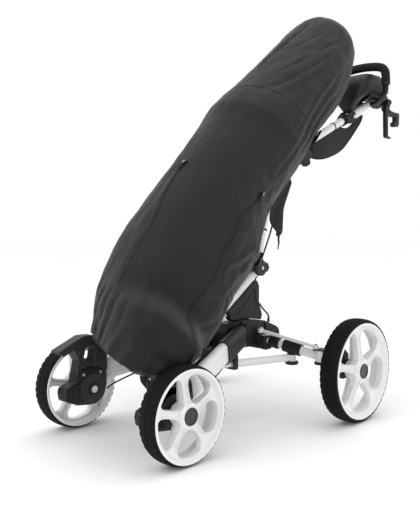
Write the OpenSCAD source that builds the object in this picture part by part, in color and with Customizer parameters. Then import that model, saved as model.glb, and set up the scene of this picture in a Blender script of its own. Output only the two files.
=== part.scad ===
/* [Front wheels] */
// Outer radius of a front tyre
front_r = 125; // [120:1:127]
// Half of the distance between the front wheel centres
front_track = 229; // [227:1:234]
/* [Rear wheels] */
// Outer radius of a rear tyre
rear_r = 156; // [150:1:158]
// Half of the distance between the rear wheel centres
rear_track = 337; // [334:1:345]
/* [Wheels] */
// Half of the distance between the front and rear axles
half_base = 308.7; // [306:0.1:312]
// Half of the tyre width
tyre_hw = 28; // [25:0.5:28.5]
// Axle radius
axle_r = 6; // [5:0.5:7]
/* [Frame] */
// Radius of the main frame and handle tubes
tube_r = 14; // [12:0.5:14.5]
// Radius of the rear swing arm tubes
arm_r = 15; // [13:0.5:15]
// Height of the oval front arm extrusion
front_arm_h = 66; // [56:1:68]
// Thickness of the oval front arm extrusion
front_arm_t = 30; // [24:1:30]
/* [Bag] */
// Radius of the golf bag tube
bag_r = 115; // [100:1:117]
// Wall thickness of the cover cloth solid
cover_t = 2; // [1.5:0.5:3]
// Lean of the bag axis from vertical, degrees
bag_lean = 41.9; // [41.5:0.1:42.5]
/* [Hidden] */
// the whole object is moved back by this much so that its box is centred on the origin
yo = -339;
$fn = 48;
WHITE = "white";
BLACK = [0.14, 0.14, 0.13];
GREY = [0.27, 0.27, 0.26];
CLOTH = [0.22, 0.22, 0.23];
// hub pivots of the rear arm and of its parallel link, right side
P1 = [45, 234, 224];
P2 = [34, 223, 253];
// the same two pivots at the wheel bracket
Q1 = [230, 279, 187];
Q2 = [219, 268, 216];
// pin of the stay rod under the arm collar, and the guide that its front end slides in
C1 = [135, 256, 174];
G1 = [67, 45, 174];
// ends of the front arm extrusion's centre line, and where the socket begins
A1 = [92, -17.5, 217.7];
A2 = [178.5, -245, 168.3];
A0 = [40, 119, 247.6];
function sub3(a, b) = [a[0] - b[0], a[1] - b[1], a[2] - b[2]];
function along(p, q, k) = [p[0] + (q[0] - p[0]) * k, p[1] + (q[1] - p[1]) * k, p[2] + (q[2] - p[2]) * k];
function dist(p, q) = norm(sub3(q, p));
module at() { translate([0, yo, 0]) children(); }
module both() { children(); mirror([1, 0, 0]) children(); }
// place local Z along the line from p to q, local X pointing down
module aim(p, q) {
  v = sub3(q, p);
  translate(p) rotate([0, 0, atan2(v[1], v[0])]) rotate([0, 90 - asin(v[2] / norm(v)), 0]) children();
}
module rod(p, q, r) { aim(p, q) cylinder(r = r, h = dist(p, q)); }
// side profile in Y and Z, given thickness along X
module side(x0, x1, pts) { translate([x0, 0, 0]) rotate([90, 0, 90]) linear_extrude(x1 - x0) polygon(pts); }
module oval(h, t) { union() { square([h - t, t], center = true); for (s = [-1, 1]) translate([s * (h - t) / 2, 0]) circle(d = t); } }
module xcyl(p, r, l) { translate(p) rotate([0, 90, 0]) cylinder(r = r, h = l); }
module ycyl(p, r, l) { translate(p) rotate([-90, 0, 0]) cylinder(r = r, h = l); }
module bag_at() { translate([0, -284, 243]) rotate([-bag_lean, 0, 0]) children(); }

// ---------- hub and main frame ----------
module hub_housing() at() color(BLACK) difference() {
  union() {
    side(-20, 20, [[66, 208], [60, 220], [60, 262], [78, 286], [150, 292], [200, 290], [262, 280], [322, 256], [336, 246], [338, 226], [326, 212]]);
    side(-30, 30, [[64, 206], [58, 216], [58, 262], [72, 278], [150, 280], [178, 262], [186, 214], [178, 206]]);
    side(-24, 24, [[262, 214], [262, 272], [318, 252], [334, 240], [334, 222], [322, 212]]);
    both() {
      translate([16, 216, 195]) cube([29, 36, 8.4]);
      translate([P1[0], P1[1], 195]) cylinder(r = 20, h = 8.4);
      translate([16, 213, 240.4]) cube([18, 19, 4.6]);
      translate([P2[0], P2[1], 240.4]) cylinder(r = 9, h = 4.6);
    }
    translate([-20, 216, 195]) cube([40, 36, 22]);
  }
  both() {
    translate([P1[0], P1[1], 180]) cylinder(r = 5.02, h = 30);
    translate([P2[0], P2[1], 230]) cylinder(r = 3.02, h = 30);
    aim(A0, A1) translate([0, 0, -40]) linear_extrude(120) oval(front_arm_h + 9, front_arm_t + 9);
  }
  rod([0, 66.1, 216.1], [0, -80, 150], 12.02);
}
module arm_sockets() at() color(BLACK) both() difference() {
  union() {
    aim(A0, A1) translate([0, 0, 0]) linear_extrude(dist(A0, A1)) oval(front_arm_h + 8.8, front_arm_t + 8.8);
    translate([G1[0] - 20, G1[1] - 9, 160]) cube([40, 18, 44]);
  }
  aim(A0, A2) translate([0, 0, 40]) linear_extrude(400) oval(front_arm_h + 0.04, front_arm_t + 0.04);
  translate([G1[0] - 15, G1[1] - 20, 163]) cube([30, 60, 23]);
  translate([-32, 0, 150]) cube([62.5, 400, 200]);
}
module hub_gusset() at() color(BLACK) difference() {
  side(-9, 9, [[110, 292.2], [96, 322], [212, 402], [236, 414], [246, 396], [246, 340], [262, 300], [256, 282.6], [200, 291.5], [150, 292.2]]);
  rod([0, 40, 305], [0, 262, 461], tube_r);
  translate([0, 240, 455]) rotate([0, 90, 0]) cylinder(r = 27, h = 60, center = true);
}
module lower_main_tube() at() color(WHITE) difference() {
  rod([0, 34, 300.8], [0, 240, 445.5], tube_r);
  rod([0, 20, 291], [0, 262, 461], tube_r - 2);
  translate([0, 240, 455]) rotate([0, 90, 0]) cylinder(r = 26, h = 60, center = true);
  side(-40, 40, [[0, 240], [0, 292], [200, 292], [200, 240]]);
}
module fold_joint_housing() at() color(GREY) difference() {
  union() {
    xcyl([-24, 240, 455], 26, 48);
    side(-15, 15, [[232, 440], [200, 452], [172, 447], [166, 458], [190, 476], [236, 480]]);
    side(-14, 14, [[236, 450], [229, 500], [252, 508], [262, 470]]);
  }
  rod([0, 246.62, 473.39], [0, 285, 636], tube_r + 0.02);
  xcyl([-40, 240, 455], 6, 80);
}
module fold_lock_knob() at() color(BLACK) union() {
  ycyl([0, 266.1, 455], 8, 8);
  translate([0, 273, 455]) rotate([-90, 0, 0]) rotate_extrude() polygon([[0, 0], [15, 0], [18, 3], [18, 12], [14, 18], [0, 20]]);
}
module upper_main_tube() at() color(WHITE) union() {
  rod([0, 247, 475], [0, 285, 636], tube_r);
  translate([0, 285, 636]) sphere(tube_r + 0.3);
  rod([0, 285, 636], [0, 300, 685], tube_r);
  translate([0, 300, 685]) sphere(tube_r + 0.3);
  rod([0, 300, 685], [0, 330, 717], tube_r);
  translate([0, 330, 717]) sphere(tube_r + 0.3);
  rod([0, 330, 717], [0, 540, 896], tube_r);
  translate([0, 540, 896]) sphere(tube_r + 0.3);
  rod([0, 540, 896], [0, 600, 926], tube_r);
  translate([0, 600, 926]) sphere(tube_r + 0.3);
  rod([0, 600, 926], [0, 764, 1002], tube_r);
}
// curved pad that the back of the bag lies against, at distance s along the bag
module cradle_pad(s, r, c, h, half) {
  bag_at() translate([0, c, s]) difference() {
    cylinder(r = r + 8, h = h, $fn = 96);
    translate([0, 0, -1]) cylinder(r = r, h = h + 2, $fn = 96);
    translate([-300, -600 + r * cos(half), -1]) cube([600, 600, h + 2]);
  }
}
module lower_bag_cradle() at() color(BLACK) difference() {
  union() {
    cradle_pad(415, 190, -24, 50, 42);
    side(-13, 13, [[166, 447], [145, 452], [128, 460], [160, 500], [186, 476], [166, 458]]);
  }
  bag_at() translate([0, -24, 300]) cylinder(r = 190, h = 300, $fn = 96);
  side(-16, 16, [[232, 439], [200, 451.7], [171.8, 446.7], [165.6, 458.1], [190, 476.3], [236, 480.3]]);
}
module upper_bag_cradle() at() color(BLACK) difference() {
  union() {
    cradle_pad(925, 161, -28, 52, 44);
    aim([0, 466, 833], [0, 506, 867]) translate([4, 0, 0]) linear_extrude(52) square([54, 44], center = true);
  }
  rod([0, 330, 717], [0, 540, 896], tube_r + 0.05);
  bag_at() translate([0, -28, 800]) cylinder(r = 161, h = 300, $fn = 96);
  aim([0, 486, 850], [0, 506, 827]) cylinder(r = 5.05, h = 60);
}
module cradle_knob() at() color(BLACK) aim([0, 486, 850], [0, 506, 827]) union() {
  translate([0, 0, 16]) cylinder(r = 4.98, h = 20);
  translate([0, 0, 33]) rotate_extrude() polygon([[0, 0], [14, 0], [17, 3], [17, 13], [13, 18], [0, 20]]);
}
module bag_rest() at() color(BLACK) union() {
  rod([0, 66, 216], [0, -80, 150], 12);
  translate([0, -80, 150]) sphere(12.3);
  rod([0, -80, 150], [0, -205, 130], 12);
  translate([0, -205, 130]) sphere(12.3);
  rod([0, -205, 130], [0, -243, 168], 12);
  translate([0, -243, 168]) sphere(12.3);
  rod([0, -243, 168], [0, -213.5, 208.4], 12);
  bag_at() translate([-45, 30, 20]) cube([90, 66, 6]);
}
module rear_strap_flap() at() color(CLOTH) union() {
  side(-9, 9, [[322, 683], [345, 706], [418, 768], [424, 742], [416, 708], [384, 642], [374, 566], [352, 556], [344, 588], [322, 588], [309, 610]]);
  side(-9, -6, [[374, 566], [368, 556], [372, 532], [363, 512], [358, 514], [366, 534], [360, 556]]);
}
module storage_net() at() color(CLOTH) side(-16, 16, [[556, 884], [606, 910], [730, 966], [772, 970], [806, 984], [862, 1022], [880, 1030], [862, 996], [768, 906], [712, 870], [634, 844], [580, 836], [540, 840], [538, 858]]);
module handle_clamp() at() color(BLACK) difference() {
  union() {
    rod([0, 740, 990.8], [0, 767, 1003.4], tube_r + 6);
    for (x = [-24, 16.2]) side(x, x + 7.8, [[748, 982], [744, 1002], [756, 1016], [776, 1032], [798, 1032], [810, 1014], [800, 994], [772, 984]]);
  }
  rod([0, 600, 926], [0, 764, 1002], tube_r + 0.02);
  xcyl([-40, 788, 1012], 6.05, 80);
  xcyl([-16.2, 788, 1012], 23, 32.4);
}

// ---------- front arms, brackets, axles ----------
module front_arm_r() at() color(WHITE) difference() {
  aim(A0, A2) translate([0, 0, 60]) linear_extrude(dist(A0, A2) - 60) difference() {
    oval(front_arm_h, front_arm_t);
    offset_slot(front_arm_h - 5, front_arm_t - 5);
    for (s = [-1, 1]) for (k = [-1, 0, 1]) translate([k * 13, s * front_arm_t / 2]) square([2.4, 2.2], center = true);
  }
}
module offset_slot(h, t) { oval(h, t); }
module front_arm_right() front_arm_r();
module front_arm_left() mirror([1, 0, 0]) front_arm_r();
// wheel bracket with its fender wing, measured from the front axle centre
module front_bracket_r() at() color(GREY) difference() {
  union() {
    translate([0, -half_base, 125]) {
      side(152, 190, [[-41, 83], [-52, 30], [-70, 6], [-75, -6], [-66, -12], [-52, -40], [-8, -46], [34, -34], [46, -12], [52, 4], [50, 63], [48, 128], [-30, 134], [-58, 116]]);
      side(152, 192, [[-108, 114], [-108, 119], [-28, 153], [10, 152], [47, 136], [48, 126.5], [24, 130.6], [0, 132.6], [-24, 130.6], [-48, 123.8], [-72, 112], [-92, 104]]);
      xcyl([146, 0, 0], 44, 50);
      xcyl([190, 0, 0], 20, 8);
    }
  }
  translate([0, -half_base, 125]) {
    side(140, 200, [[-28, 94], [-20, 120], [6, 124], [14, 108], [10, 84], [-8, 74]]);
    xcyl([130, 0, 0], axle_r, 100);
  }
  aim(A0, A2) linear_extrude(dist(A0, A2)) oval(front_arm_h, front_arm_t);
}
module front_bracket_right() front_bracket_r();
module front_bracket_left() mirror([1, 0, 0]) front_bracket_r();
module front_axles() at() color("silver") both() translate([0, -half_base, front_r]) union() {
  xcyl([143, 0, 0], axle_r, front_track + 24 - 143);
  xcyl([138, 0, 0], 10, 8);
}
module bracket_screws() at() color("silver") both() for (p = [[-30, 44], [28, 44]])
  xcyl([148.2, -half_base + p[0], 125 + p[1]], 4, 3.8);
// round cable swept along hand-set points
function ring(p, t, r, n, u) = let (a = cross(t, u) / norm(cross(t, u)), b = cross(t, a))
  [for (i = [0:n - 1]) p + r * (cos(360 * i / n) * a + sin(360 * i / n) * b)];
function tang(P, i) = let (a = P[max(0, i - 1)], b = P[min(len(P) - 1, i + 1)]) (b - a) / norm(b - a);
function cr(a, b, c, d, t) = 0.5 * ((2 * b) + (c - a) * t + (2 * a - 5 * b + 4 * c - d) * t * t + (3 * b - a - 3 * c + d) * t * t * t);
function smooth(P, m) = [for (i = [0:len(P) - 2]) for (j = [0:m - 1]) cr(P[max(0, i - 1)], P[i], P[i + 1], P[min(len(P) - 1, i + 2)], j / m), P[len(P) - 1]];
module cable(P, r, n = 8, u = [0, 0, 1]) {
  R = [for (i = [0:len(P) - 1]) ring(P[i], tang(P, i), r, n, u)];
  polyhedron(points = [for (q = R) each q],
    faces = concat([[for (i = [0:n - 1]) i]], [[for (i = [n - 1:-1:0]) (len(P) - 1) * n + i]],
      [for (k = [0:len(P) - 2]) for (i = [0:n - 1]) [k * n + i, (k + 1) * n + i, (k + 1) * n + (i + 1) % n]],
      [for (k = [0:len(P) - 2]) for (i = [0:n - 1]) [k * n + i, (k + 1) * n + (i + 1) % n, k * n + (i + 1) % n]]));
}
FC = [[144, -262, 118], [136, -240, 132], [112, -170, 158], [84, -90, 178], [50, -10, 190], [26, 40, 200], [18, 60, 207]];
module front_cable_r() at() color(BLACK) cable(smooth(FC, 4), 2.5);
module front_cable_right() front_cable_r();
module front_cable_left() mirror([1, 0, 0]) front_cable_r();
BC = [[-24, 770, 975], [-24, 700, 944], [-26, 600, 896], [-28, 540, 866], [-28, 470, 800], [-27, 420, 740], [-26, 372, 640], [-27, 345, 566], [-29, 300, 474], [-27, 268, 412], [-24, 268, 356], [-18, 290, 320], [-10, 316, 290], [-6, 312, 268]];
module main_brake_cable() at() color(BLACK) union() {
  cable(smooth(BC, 4), 3, 8, [1, 0, 0]);
}
module frame_pivot_pins() at() color("silver") both() {
  xcyl([0, 240, 455], 5.98, 29);
  translate([P1[0], P1[1], 190]) cylinder(r = 9, h = 5);
  translate([P1[0], P1[1], 194.9]) cylinder(r = 5, h = 44);
  translate([P2[0], P2[1], 240.5]) cylinder(r = 3, h = 21);
  translate([P2[0], P2[1], 261.2]) cylinder(r = 6, h = 3);
}

// ---------- folding rear arms ----------
module rear_arm_r() at() color(WHITE) difference() {
  union() {
    rod(along(P1, Q1, 0.05), along(P1, Q1, 0.93), arm_r);
    translate([P1[0], P1[1], 204]) cylinder(r = 17, h = 35);
    translate([Q1[0], Q1[1], 171]) cylinder(r = 17, h = 35);
  }
  translate([P1[0], P1[1], 180]) cylinder(r = 5.06, h = 100);
  translate([Q1[0], Q1[1], 150]) cylinder(r = 5.06, h = 100);
}
module rear_arm_right() rear_arm_r();
module rear_arm_left() mirror([1, 0, 0]) rear_arm_r();
module arm_collar_r() at() color(BLACK) difference() {
  union() {
    rod(along(P1, Q1, 0.35), along(P1, Q1, 0.66), arm_r + 4.5);
    translate([C1[0], C1[1], 183.6]) cylinder(r = 15, h = 12);
    translate([C1[0], C1[1], 155]) cylinder(r = 4, h = 30);
    translate([C1[0], C1[1], 154]) cylinder(r = 17, h = 9);
  }
  rod(P1, Q1, arm_r);
}
module arm_collar_right() arm_collar_r();
module arm_collar_left() mirror([1, 0, 0]) arm_collar_r();
module rear_link_r() at() color(WHITE) difference() {
  union() {
    rod(P2, Q2, 5.5);
    translate([P2[0], P2[1], 246]) cylinder(r = 9, h = 14);
    translate([Q2[0], Q2[1], 210.8]) cylinder(r = 9, h = 12);
  }
  translate([P2[0], P2[1], 230]) cylinder(r = 3.06, h = 60);
  translate([Q2[0], Q2[1], 200]) cylinder(r = 3.6, h = 60);
}
module rear_link_right() rear_link_r();
module rear_link_left() mirror([1, 0, 0]) rear_link_r();
G2 = [46.6, -17, 174];
module stay_rod_r() at() color(WHITE) difference() {
  union() {
    rod(C1, G2, 9);
    translate([C1[0], C1[1], 163.4]) cylinder(r = 14, h = 19.8);
  }
  translate([C1[0], C1[1], 150]) cylinder(r = 4.06, h = 60);
}
module stay_rod_right() stay_rod_r();
module stay_rod_left() mirror([1, 0, 0]) stay_rod_r();
module rear_bracket_r() at() color(BLACK) difference() {
  union() {
    for (z = [[162, 8.6], [206.4, 4]]) translate([0, 0, z[0]]) union() {
      translate([Q1[0], Q1[1], 0]) cylinder(r = 20, h = z[1]);
      translate([Q1[0], 262, 0]) cube([60, 37, z[1]]);
    }
    translate([Q2[0], Q2[1], 207.8]) cylinder(r = 10, h = 2.6);
    side(256, 292, [[262, 162], [262, 210], [272, 222], [306, 222], [338, 196], [342, 156], [330, 132], [300, 124], [280, 134]]);
    xcyl([280, half_base, rear_r], 30, 24);
    // pins for the arm and the link
    translate([Q1[0], Q1[1], 163]) cylinder(r = 5, h = 47);
    translate([Q2[0], Q2[1], 207]) cylinder(r = 3, h = 19);
  }
  xcyl([250, half_base, rear_r], axle_r, 100);
}
module rear_bracket_right() rear_bracket_r();
module rear_bracket_left() mirror([1, 0, 0]) rear_bracket_r();
module rear_axle_r() at() color("silver") xcyl([260, half_base, rear_r], axle_r, rear_track + 24 - 260);
module rear_axle_right() rear_axle_r();
module rear_axle_left() mirror([1, 0, 0]) rear_axle_r();

// ---------- wheels: built about the X axis, outer face toward +X ----------
module tyre(r, ri) rotate([0, 90, 0]) rotate_extrude($fn = 96)
  polygon([[ri, -tyre_hw], [r - 4, -tyre_hw], [r - 1.5, -tyre_hw + 4], [r, -tyre_hw + 14], [r, tyre_hw - 14], [r - 1.5, tyre_hw - 4], [r - 4, tyre_hw], [ri, tyre_hw]]);
module rim(ri) difference() {
  union() {
    rotate([0, 90, 0]) rotate_extrude($fn = 96)
      polygon([[ri - 7, -tyre_hw - 2], [ri + 4, -tyre_hw - 2], [ri + 4, -tyre_hw], [ri, -tyre_hw], [ri, tyre_hw], [ri + 4, tyre_hw], [ri + 4, tyre_hw + 2], [ri - 7, tyre_hw + 2]]);
    for (k = [0:4]) rotate([77 + 72 * k, 0, 0]) {
      translate([-8, 12, -10]) cube([30, ri * 0.55 - 12, 20]);
      for (s = [-1, 1]) translate([-8, ri * 0.5, 0]) rotate([s * 22, 0, 0]) translate([0, 0, -5]) cube([30, ri * 0.5 - 2, 10]);
    }
    xcyl([-tyre_hw + 3, 0, 0], 24, 2 * tyre_hw - 7);
  }
  xcyl([-60, 0, 0], axle_r + 0.05, 120);
  difference() { xcyl([-60, 0, 0], ri + 60, 120); xcyl([-60, 0, 0], ri + 4, 120); }
  difference() { xcyl([-tyre_hw, 0, 0], ri + 8, 2 * tyre_hw); xcyl([-tyre_hw - 1, 0, 0], ri, 2 * tyre_hw + 2); }
}
module hub_cap() difference() {
  union() { xcyl([tyre_hw - 4, 0, 0], 22, 5); xcyl([tyre_hw, 0, 0], 20, 3); }
}
module front_at() translate([front_track, yo - half_base, front_r]) children();
module rear_at() translate([rear_track, yo + half_base, rear_r]) children();
module front_tyre_right() color([0.08, 0.08, 0.08]) front_at() tyre(front_r, 113);
module front_tyre_left() mirror([1, 0, 0]) front_tyre_right();
module front_rim_right() color(WHITE) front_at() rim(113);
module front_rim_left() mirror([1, 0, 0]) front_rim_right();
module front_hub_cap_right() color(BLACK) front_at() hub_cap();
module front_hub_cap_left() mirror([1, 0, 0]) front_hub_cap_right();
module rear_tyre_right() color([0.08, 0.08, 0.08]) rear_at() tyre(rear_r, 140);
module rear_tyre_left() mirror([1, 0, 0]) rear_tyre_right();
module rear_rim_right() color(WHITE) rear_at() rim(140);
module rear_rim_left() mirror([1, 0, 0]) rear_rim_right();
module rear_hub_cap_right() color(BLACK) rear_at() hub_cap();
module rear_hub_cap_left() mirror([1, 0, 0]) rear_hub_cap_right();

// ---------- handle ----------
module handle_tube() at() color(WHITE) difference() {
  union() {
    rod([0, 788, 1012], [0, 984, 1104], tube_r);
    xcyl([-15.9, 788, 1012], 16, 31.8);
    xcyl([-32, 788, 1012], 6, 64);
  }
}
LP = [[4, 934.5, 1081], [50, 922, 1081], [96, 880, 1088], [120, 856, 1112], [121.8, 852, 1128.4]];
GP = [[122.1, 852, 1130.4], [119, 856, 1168], [100, 864, 1196], [60, 870, 1208], [0, 873, 1213]];
module handle_loop_arms() at() color(BLACK) difference() {
  both() cable(smooth(LP, 3), 11, 20, [0, 1, 0]);
  rod([0, 768.4, 1002.8], [0, 1003.6, 1113.2], tube_r + 0.02);
}
GF = concat(GP, [for (i = [len(GP) - 2:-1:0]) [-GP[i][0], GP[i][1], GP[i][2]]]);
module handle_grip() at() color([0.08, 0.08, 0.08]) cable(smooth(GF, 3), 16.5, 24, [0, 1, 0]);
module console_body() at() color(GREY) difference() {
  union() {
    side(-72, 72, [[778, 1056], [815, 1052], [838, 1070], [868, 1090], [905, 1100], [945, 1104], [975, 1118], [985, 1126], [962, 1146], [930, 1164], [880, 1180], [830, 1172], [792, 1142], [772, 1100]]);
    side(-12, 12, [[936, 1088], [936, 1106], [975, 1122], [975, 1106]]);
  }
  rod([0, 768.4, 1002.8], [0, 1003.6, 1113.2], tube_r + 0.02);
  both() cable(smooth(LP, 3), 11.1, 20, [0, 1, 0]);
  // tray under the lid
  side(-58, 58, [[906, 1118], [900, 1200], [960, 1180], [958, 1128]]);
}
module console_lid() at() color(BLACK) union() {
  side(-64, 64, [[902, 1174.6], [900, 1178.6], [934, 1169.6], [967, 1150.6], [964, 1146.6], [932, 1165.4]]);
  xcyl([-56, 899, 1179.3], 3, 112);
}
module brake_lever() at() color(BLACK) difference() {
  union() {
    side(52, 66, [[982, 1096], [962, 1092], [958, 1040], [962, 950], [972, 946], [1000, 945], [1001, 949], [978, 954], [976, 1040], [986, 1060], [994, 1084]]);
    xcyl([50, 978, 1086], 14, 18);
  }
  xcyl([40, 978, 1086], 5.05, 60);
}
module accessory_hook() at() color(BLACK) difference() {
  union() {
    side(16, 48, [[966, 1096.5], [960, 1076], [980, 1070], [1000, 1082], [1004, 1112], [990, 1119]]);
    xcyl([46, 978, 1086], 5, 26);
    xcyl([70.4, 978, 1086], 9, 4);
    side(20, 42, [[1000, 1086], [1036, 1066], [1066, 1062], [1108, 1062], [1112, 1058], [1110, 1016], [1100, 1006], [1080, 1006], [1074, 1014], [1078, 1024], [1092, 1024], [1092, 1046], [1046, 1044.5], [1004, 1064]]);
    translate([0, 960, 1070]) cube([18, 34, 24]);
  }
  rod([0, 768.4, 1002.8], [0, 1003.6, 1113.2], tube_r + 0.02);
  // socket for an umbrella tube
  translate([31, 1056, 1030]) cylinder(r = 6, h = 60);
}

// ---------- bag and cover ----------
module bag_body() at() bag_at() color([0.2, 0.22, 0.26]) translate([0, -22, 38]) difference() {
  union() {
    translate([0, 0, 14]) cylinder(r = bag_r, h = 826, $fn = 64);
    translate([-52, -bag_r - 32, 150]) cube([104, 60, 340]);
    for (s = [-1, 1]) scale([1, 1, 1]) translate([s > 0 ? bag_r - 20 : -bag_r - 16, -70, 170]) cube([36, 90, 420]);
  }
  translate([0, 0, 17]) cylinder(r = bag_r - 4, h = 900, $fn = 64);
}
module bag_base() at() bag_at() color(BLACK) translate([0, -22, 38]) union() {
  translate([0, 0, -6]) cylinder(r = bag_r - 4, h = 20, $fn = 64);
  for (a = [60:60:300]) rotate([0, 0, a]) translate([0, -bag_r + 22, -11]) cylinder(r = 10, h = 6);
}
module bag_top_cuff() at() bag_at() color(BLACK) translate([0, -22, 878]) difference() {
  cylinder(r = bag_r + 4, h = 36, $fn = 64);
  translate([0, 0, -1]) difference() {
    cylinder(r = bag_r - 8, h = 40, $fn = 64);
    for (a = [0, 60, 120]) rotate([0, 0, a]) translate([-bag_r, -4, 0]) cube([2 * bag_r, 8, 40]);
  }
}
module club(x, y, l, wood) translate([x, y, 60]) {
  cylinder(r = 5.5, h = l);
  if (wood) translate([0, -12, l]) scale([1, 1, 1]) union() { sphere(26); translate([0, 12, -12]) cylinder(r = 8, h = 14); }
  else translate([-4, -30, l - 6]) cube([9, 40, 44]);
}
module club_set() at() bag_at() color("silver") translate([0, -22, 0]) {
  for (i = [0:5]) club(64 * sin(60 * i), 64 * cos(60 * i), i == 0 || i == 5 || i == 1 ? 1140 - 20 * i : 930 + 12 * i, i == 0 || i == 5 || i == 1);
}
// cover stations: distance along the bag, radius, offset of the centre toward the frame
CS = [[-12, 116, -2], [20, 134, -2], [60, 155, -6], [100, 169, -9], [150, 179, -13], [200, 184, -17], [260, 184, -24], [320, 184, -27], [380, 186.5, -25], [440, 186, -25], [500, 175, -35], [560, 165, -45], [620, 162, -47], [680, 163, -43], [740, 165, -41], [800, 169, -43], [860, 165, -38], [920, 158.5, -31], [980, 155.5, -25], [1040, 154, -16], [1100, 153, -7], [1160, 151, 0], [1220, 146, 4], [1280, 136, 2], [1340, 123, 0], [1372, 106, -1], [1390, 76, -2], [1399, 38, -2]];
CN = 40;
module rain_cover() at() bag_at() color(CLOTH) {
  n = len(CS);
  // outer rings, then the same rings pulled in by the cloth thickness
  outer = [for (s = CS) for (i = [0:CN - 1]) [s[1] * sin(360 * i / CN), s[1] * cos(360 * i / CN) + s[2], s[0]]];
  inner = [for (k = [0:n - 1]) let (s = CS[k]) for (i = [0:CN - 1]) [(s[1] - cover_t) * sin(360 * i / CN), (s[1] - cover_t) * cos(360 * i / CN) + s[2], k == 0 ? s[0] : s[0] - (k > n - 6 ? cover_t : 0)]];
  m = n * CN;
  polyhedron(points = concat(outer, inner, [[0, -2, 1401]], [[0, -2, 1401 - cover_t - 0.5]]),
    faces = concat(
      [for (k = [0:n - 2]) for (i = [0:CN - 1]) [k * CN + i, k * CN + (i + 1) % CN, (k + 1) * CN + (i + 1) % CN]],
      [for (k = [0:n - 2]) for (i = [0:CN - 1]) [k * CN + i, (k + 1) * CN + (i + 1) % CN, (k + 1) * CN + i]],
      [for (i = [0:CN - 1]) [(n - 1) * CN + i, (n - 1) * CN + (i + 1) % CN, 2 * m]],
      [for (k = [0:n - 2]) for (i = [0:CN - 1]) [m + k * CN + i, m + (k + 1) * CN + (i + 1) % CN, m + k * CN + (i + 1) % CN]],
      [for (k = [0:n - 2]) for (i = [0:CN - 1]) [m + k * CN + i, m + (k + 1) * CN + i, m + (k + 1) * CN + (i + 1) % CN]],
      [for (i = [0:CN - 1]) [m + (n - 1) * CN + i, 2 * m + 1, m + (n - 1) * CN + (i + 1) % CN]],
      [for (i = [0:CN - 1]) [i, m + i, m + (i + 1) % CN]],
      [for (i = [0:CN - 1]) [i, m + (i + 1) % CN, (i + 1) % CN]]));
}

hub_housing();
arm_sockets();
hub_gusset();
lower_main_tube();
fold_joint_housing();
fold_lock_knob();
upper_main_tube();
lower_bag_cradle();
upper_bag_cradle();
cradle_knob();
bag_rest();
rear_strap_flap();
storage_net();
handle_clamp();
front_arm_left();
front_arm_right();
front_bracket_left();
front_bracket_right();
front_axles();
bracket_screws();
front_cable_left();
front_cable_right();
main_brake_cable();
frame_pivot_pins();
rear_arm_left();
rear_arm_right();
arm_collar_left();
arm_collar_right();
rear_link_left();
rear_link_right();
stay_rod_left();
stay_rod_right();
rear_bracket_left();
rear_bracket_right();
rear_axle_left();
rear_axle_right();
front_tyre_left();
front_tyre_right();
front_rim_left();
front_rim_right();
front_hub_cap_left();
front_hub_cap_right();
rear_tyre_left();
rear_tyre_right();
rear_rim_left();
rear_rim_right();
rear_hub_cap_left();
rear_hub_cap_right();
handle_tube();
handle_loop_arms();
handle_grip();
console_body();
console_lid();
brake_lever();
accessory_hook();
bag_body();
bag_base();
bag_top_cuff();
club_set();
rain_cover();
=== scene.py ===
import math
import bpy, bmesh
import numpy as np
from mathutils import Vector, Matrix, noise


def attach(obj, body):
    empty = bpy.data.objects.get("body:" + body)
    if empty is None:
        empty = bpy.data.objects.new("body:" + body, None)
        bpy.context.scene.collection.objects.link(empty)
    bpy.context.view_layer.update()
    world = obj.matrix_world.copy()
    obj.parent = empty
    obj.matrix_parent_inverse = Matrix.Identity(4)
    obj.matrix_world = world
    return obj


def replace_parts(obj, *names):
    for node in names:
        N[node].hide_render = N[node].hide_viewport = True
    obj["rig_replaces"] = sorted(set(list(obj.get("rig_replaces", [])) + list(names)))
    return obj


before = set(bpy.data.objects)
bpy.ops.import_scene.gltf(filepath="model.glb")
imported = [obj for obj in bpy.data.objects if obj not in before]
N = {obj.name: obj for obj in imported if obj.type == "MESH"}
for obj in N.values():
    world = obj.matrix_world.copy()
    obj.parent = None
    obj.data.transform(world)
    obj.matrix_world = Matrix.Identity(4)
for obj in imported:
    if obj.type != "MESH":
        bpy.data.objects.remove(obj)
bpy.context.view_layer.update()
YO = -339.0
LEAN = math.radians(41.9)
SA, CA = math.sin(LEAN), math.cos(LEAN)
scene = bpy.context.scene
rad = math.radians


def V(x, y, z):
    return Vector((x / 1000.0, (y + YO) / 1000.0, z / 1000.0))


def B(x, c, s):
    """Point in the bag's own frame, mm: across, toward the frame, along the bag."""
    return V(x, -284 + c * CA + s * SA, 243 - c * SA + s * CA)


# ------------------------------------------------------------------ camera, light, floor
cam_data = bpy.data.cameras.new("camera")
cam_data.sensor_width = 36.0
cam_data.lens = 649.693 / 518.0 * 36.0
cam_data.clip_end = 50
cam = bpy.data.objects.new("camera", cam_data)
cam.location = (1.375796, -1.399326 + YO / 1000.0, 0.581813)
cam.rotation_euler = (rad(90 - 2.639), 0, rad(44.122))
scene.collection.objects.link(cam)
scene.camera = cam

world = bpy.data.worlds.new("studio")
scene.world = world
world.use_nodes = True
bgn = world.node_tree.nodes["Background"]
bgn.inputs[0].default_value = (1, 1, 1, 1)
bgn.inputs[1].default_value = 1.0
scene.view_settings.view_transform = "Standard"


def area(name, loc, target, size, power, colour=(1, 1, 1)):
    d = bpy.data.lights.new(name, "AREA")
    d.shape = "DISK"
    d.size = size
    d.energy = power
    d.color = colour
    o = bpy.data.objects.new(name, d)
    o.location = loc
    o.rotation_euler = (Vector(target) - Vector(loc)).to_track_quat("-Z", "Y").to_euler()
    scene.collection.objects.link(o)
    return o


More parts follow.
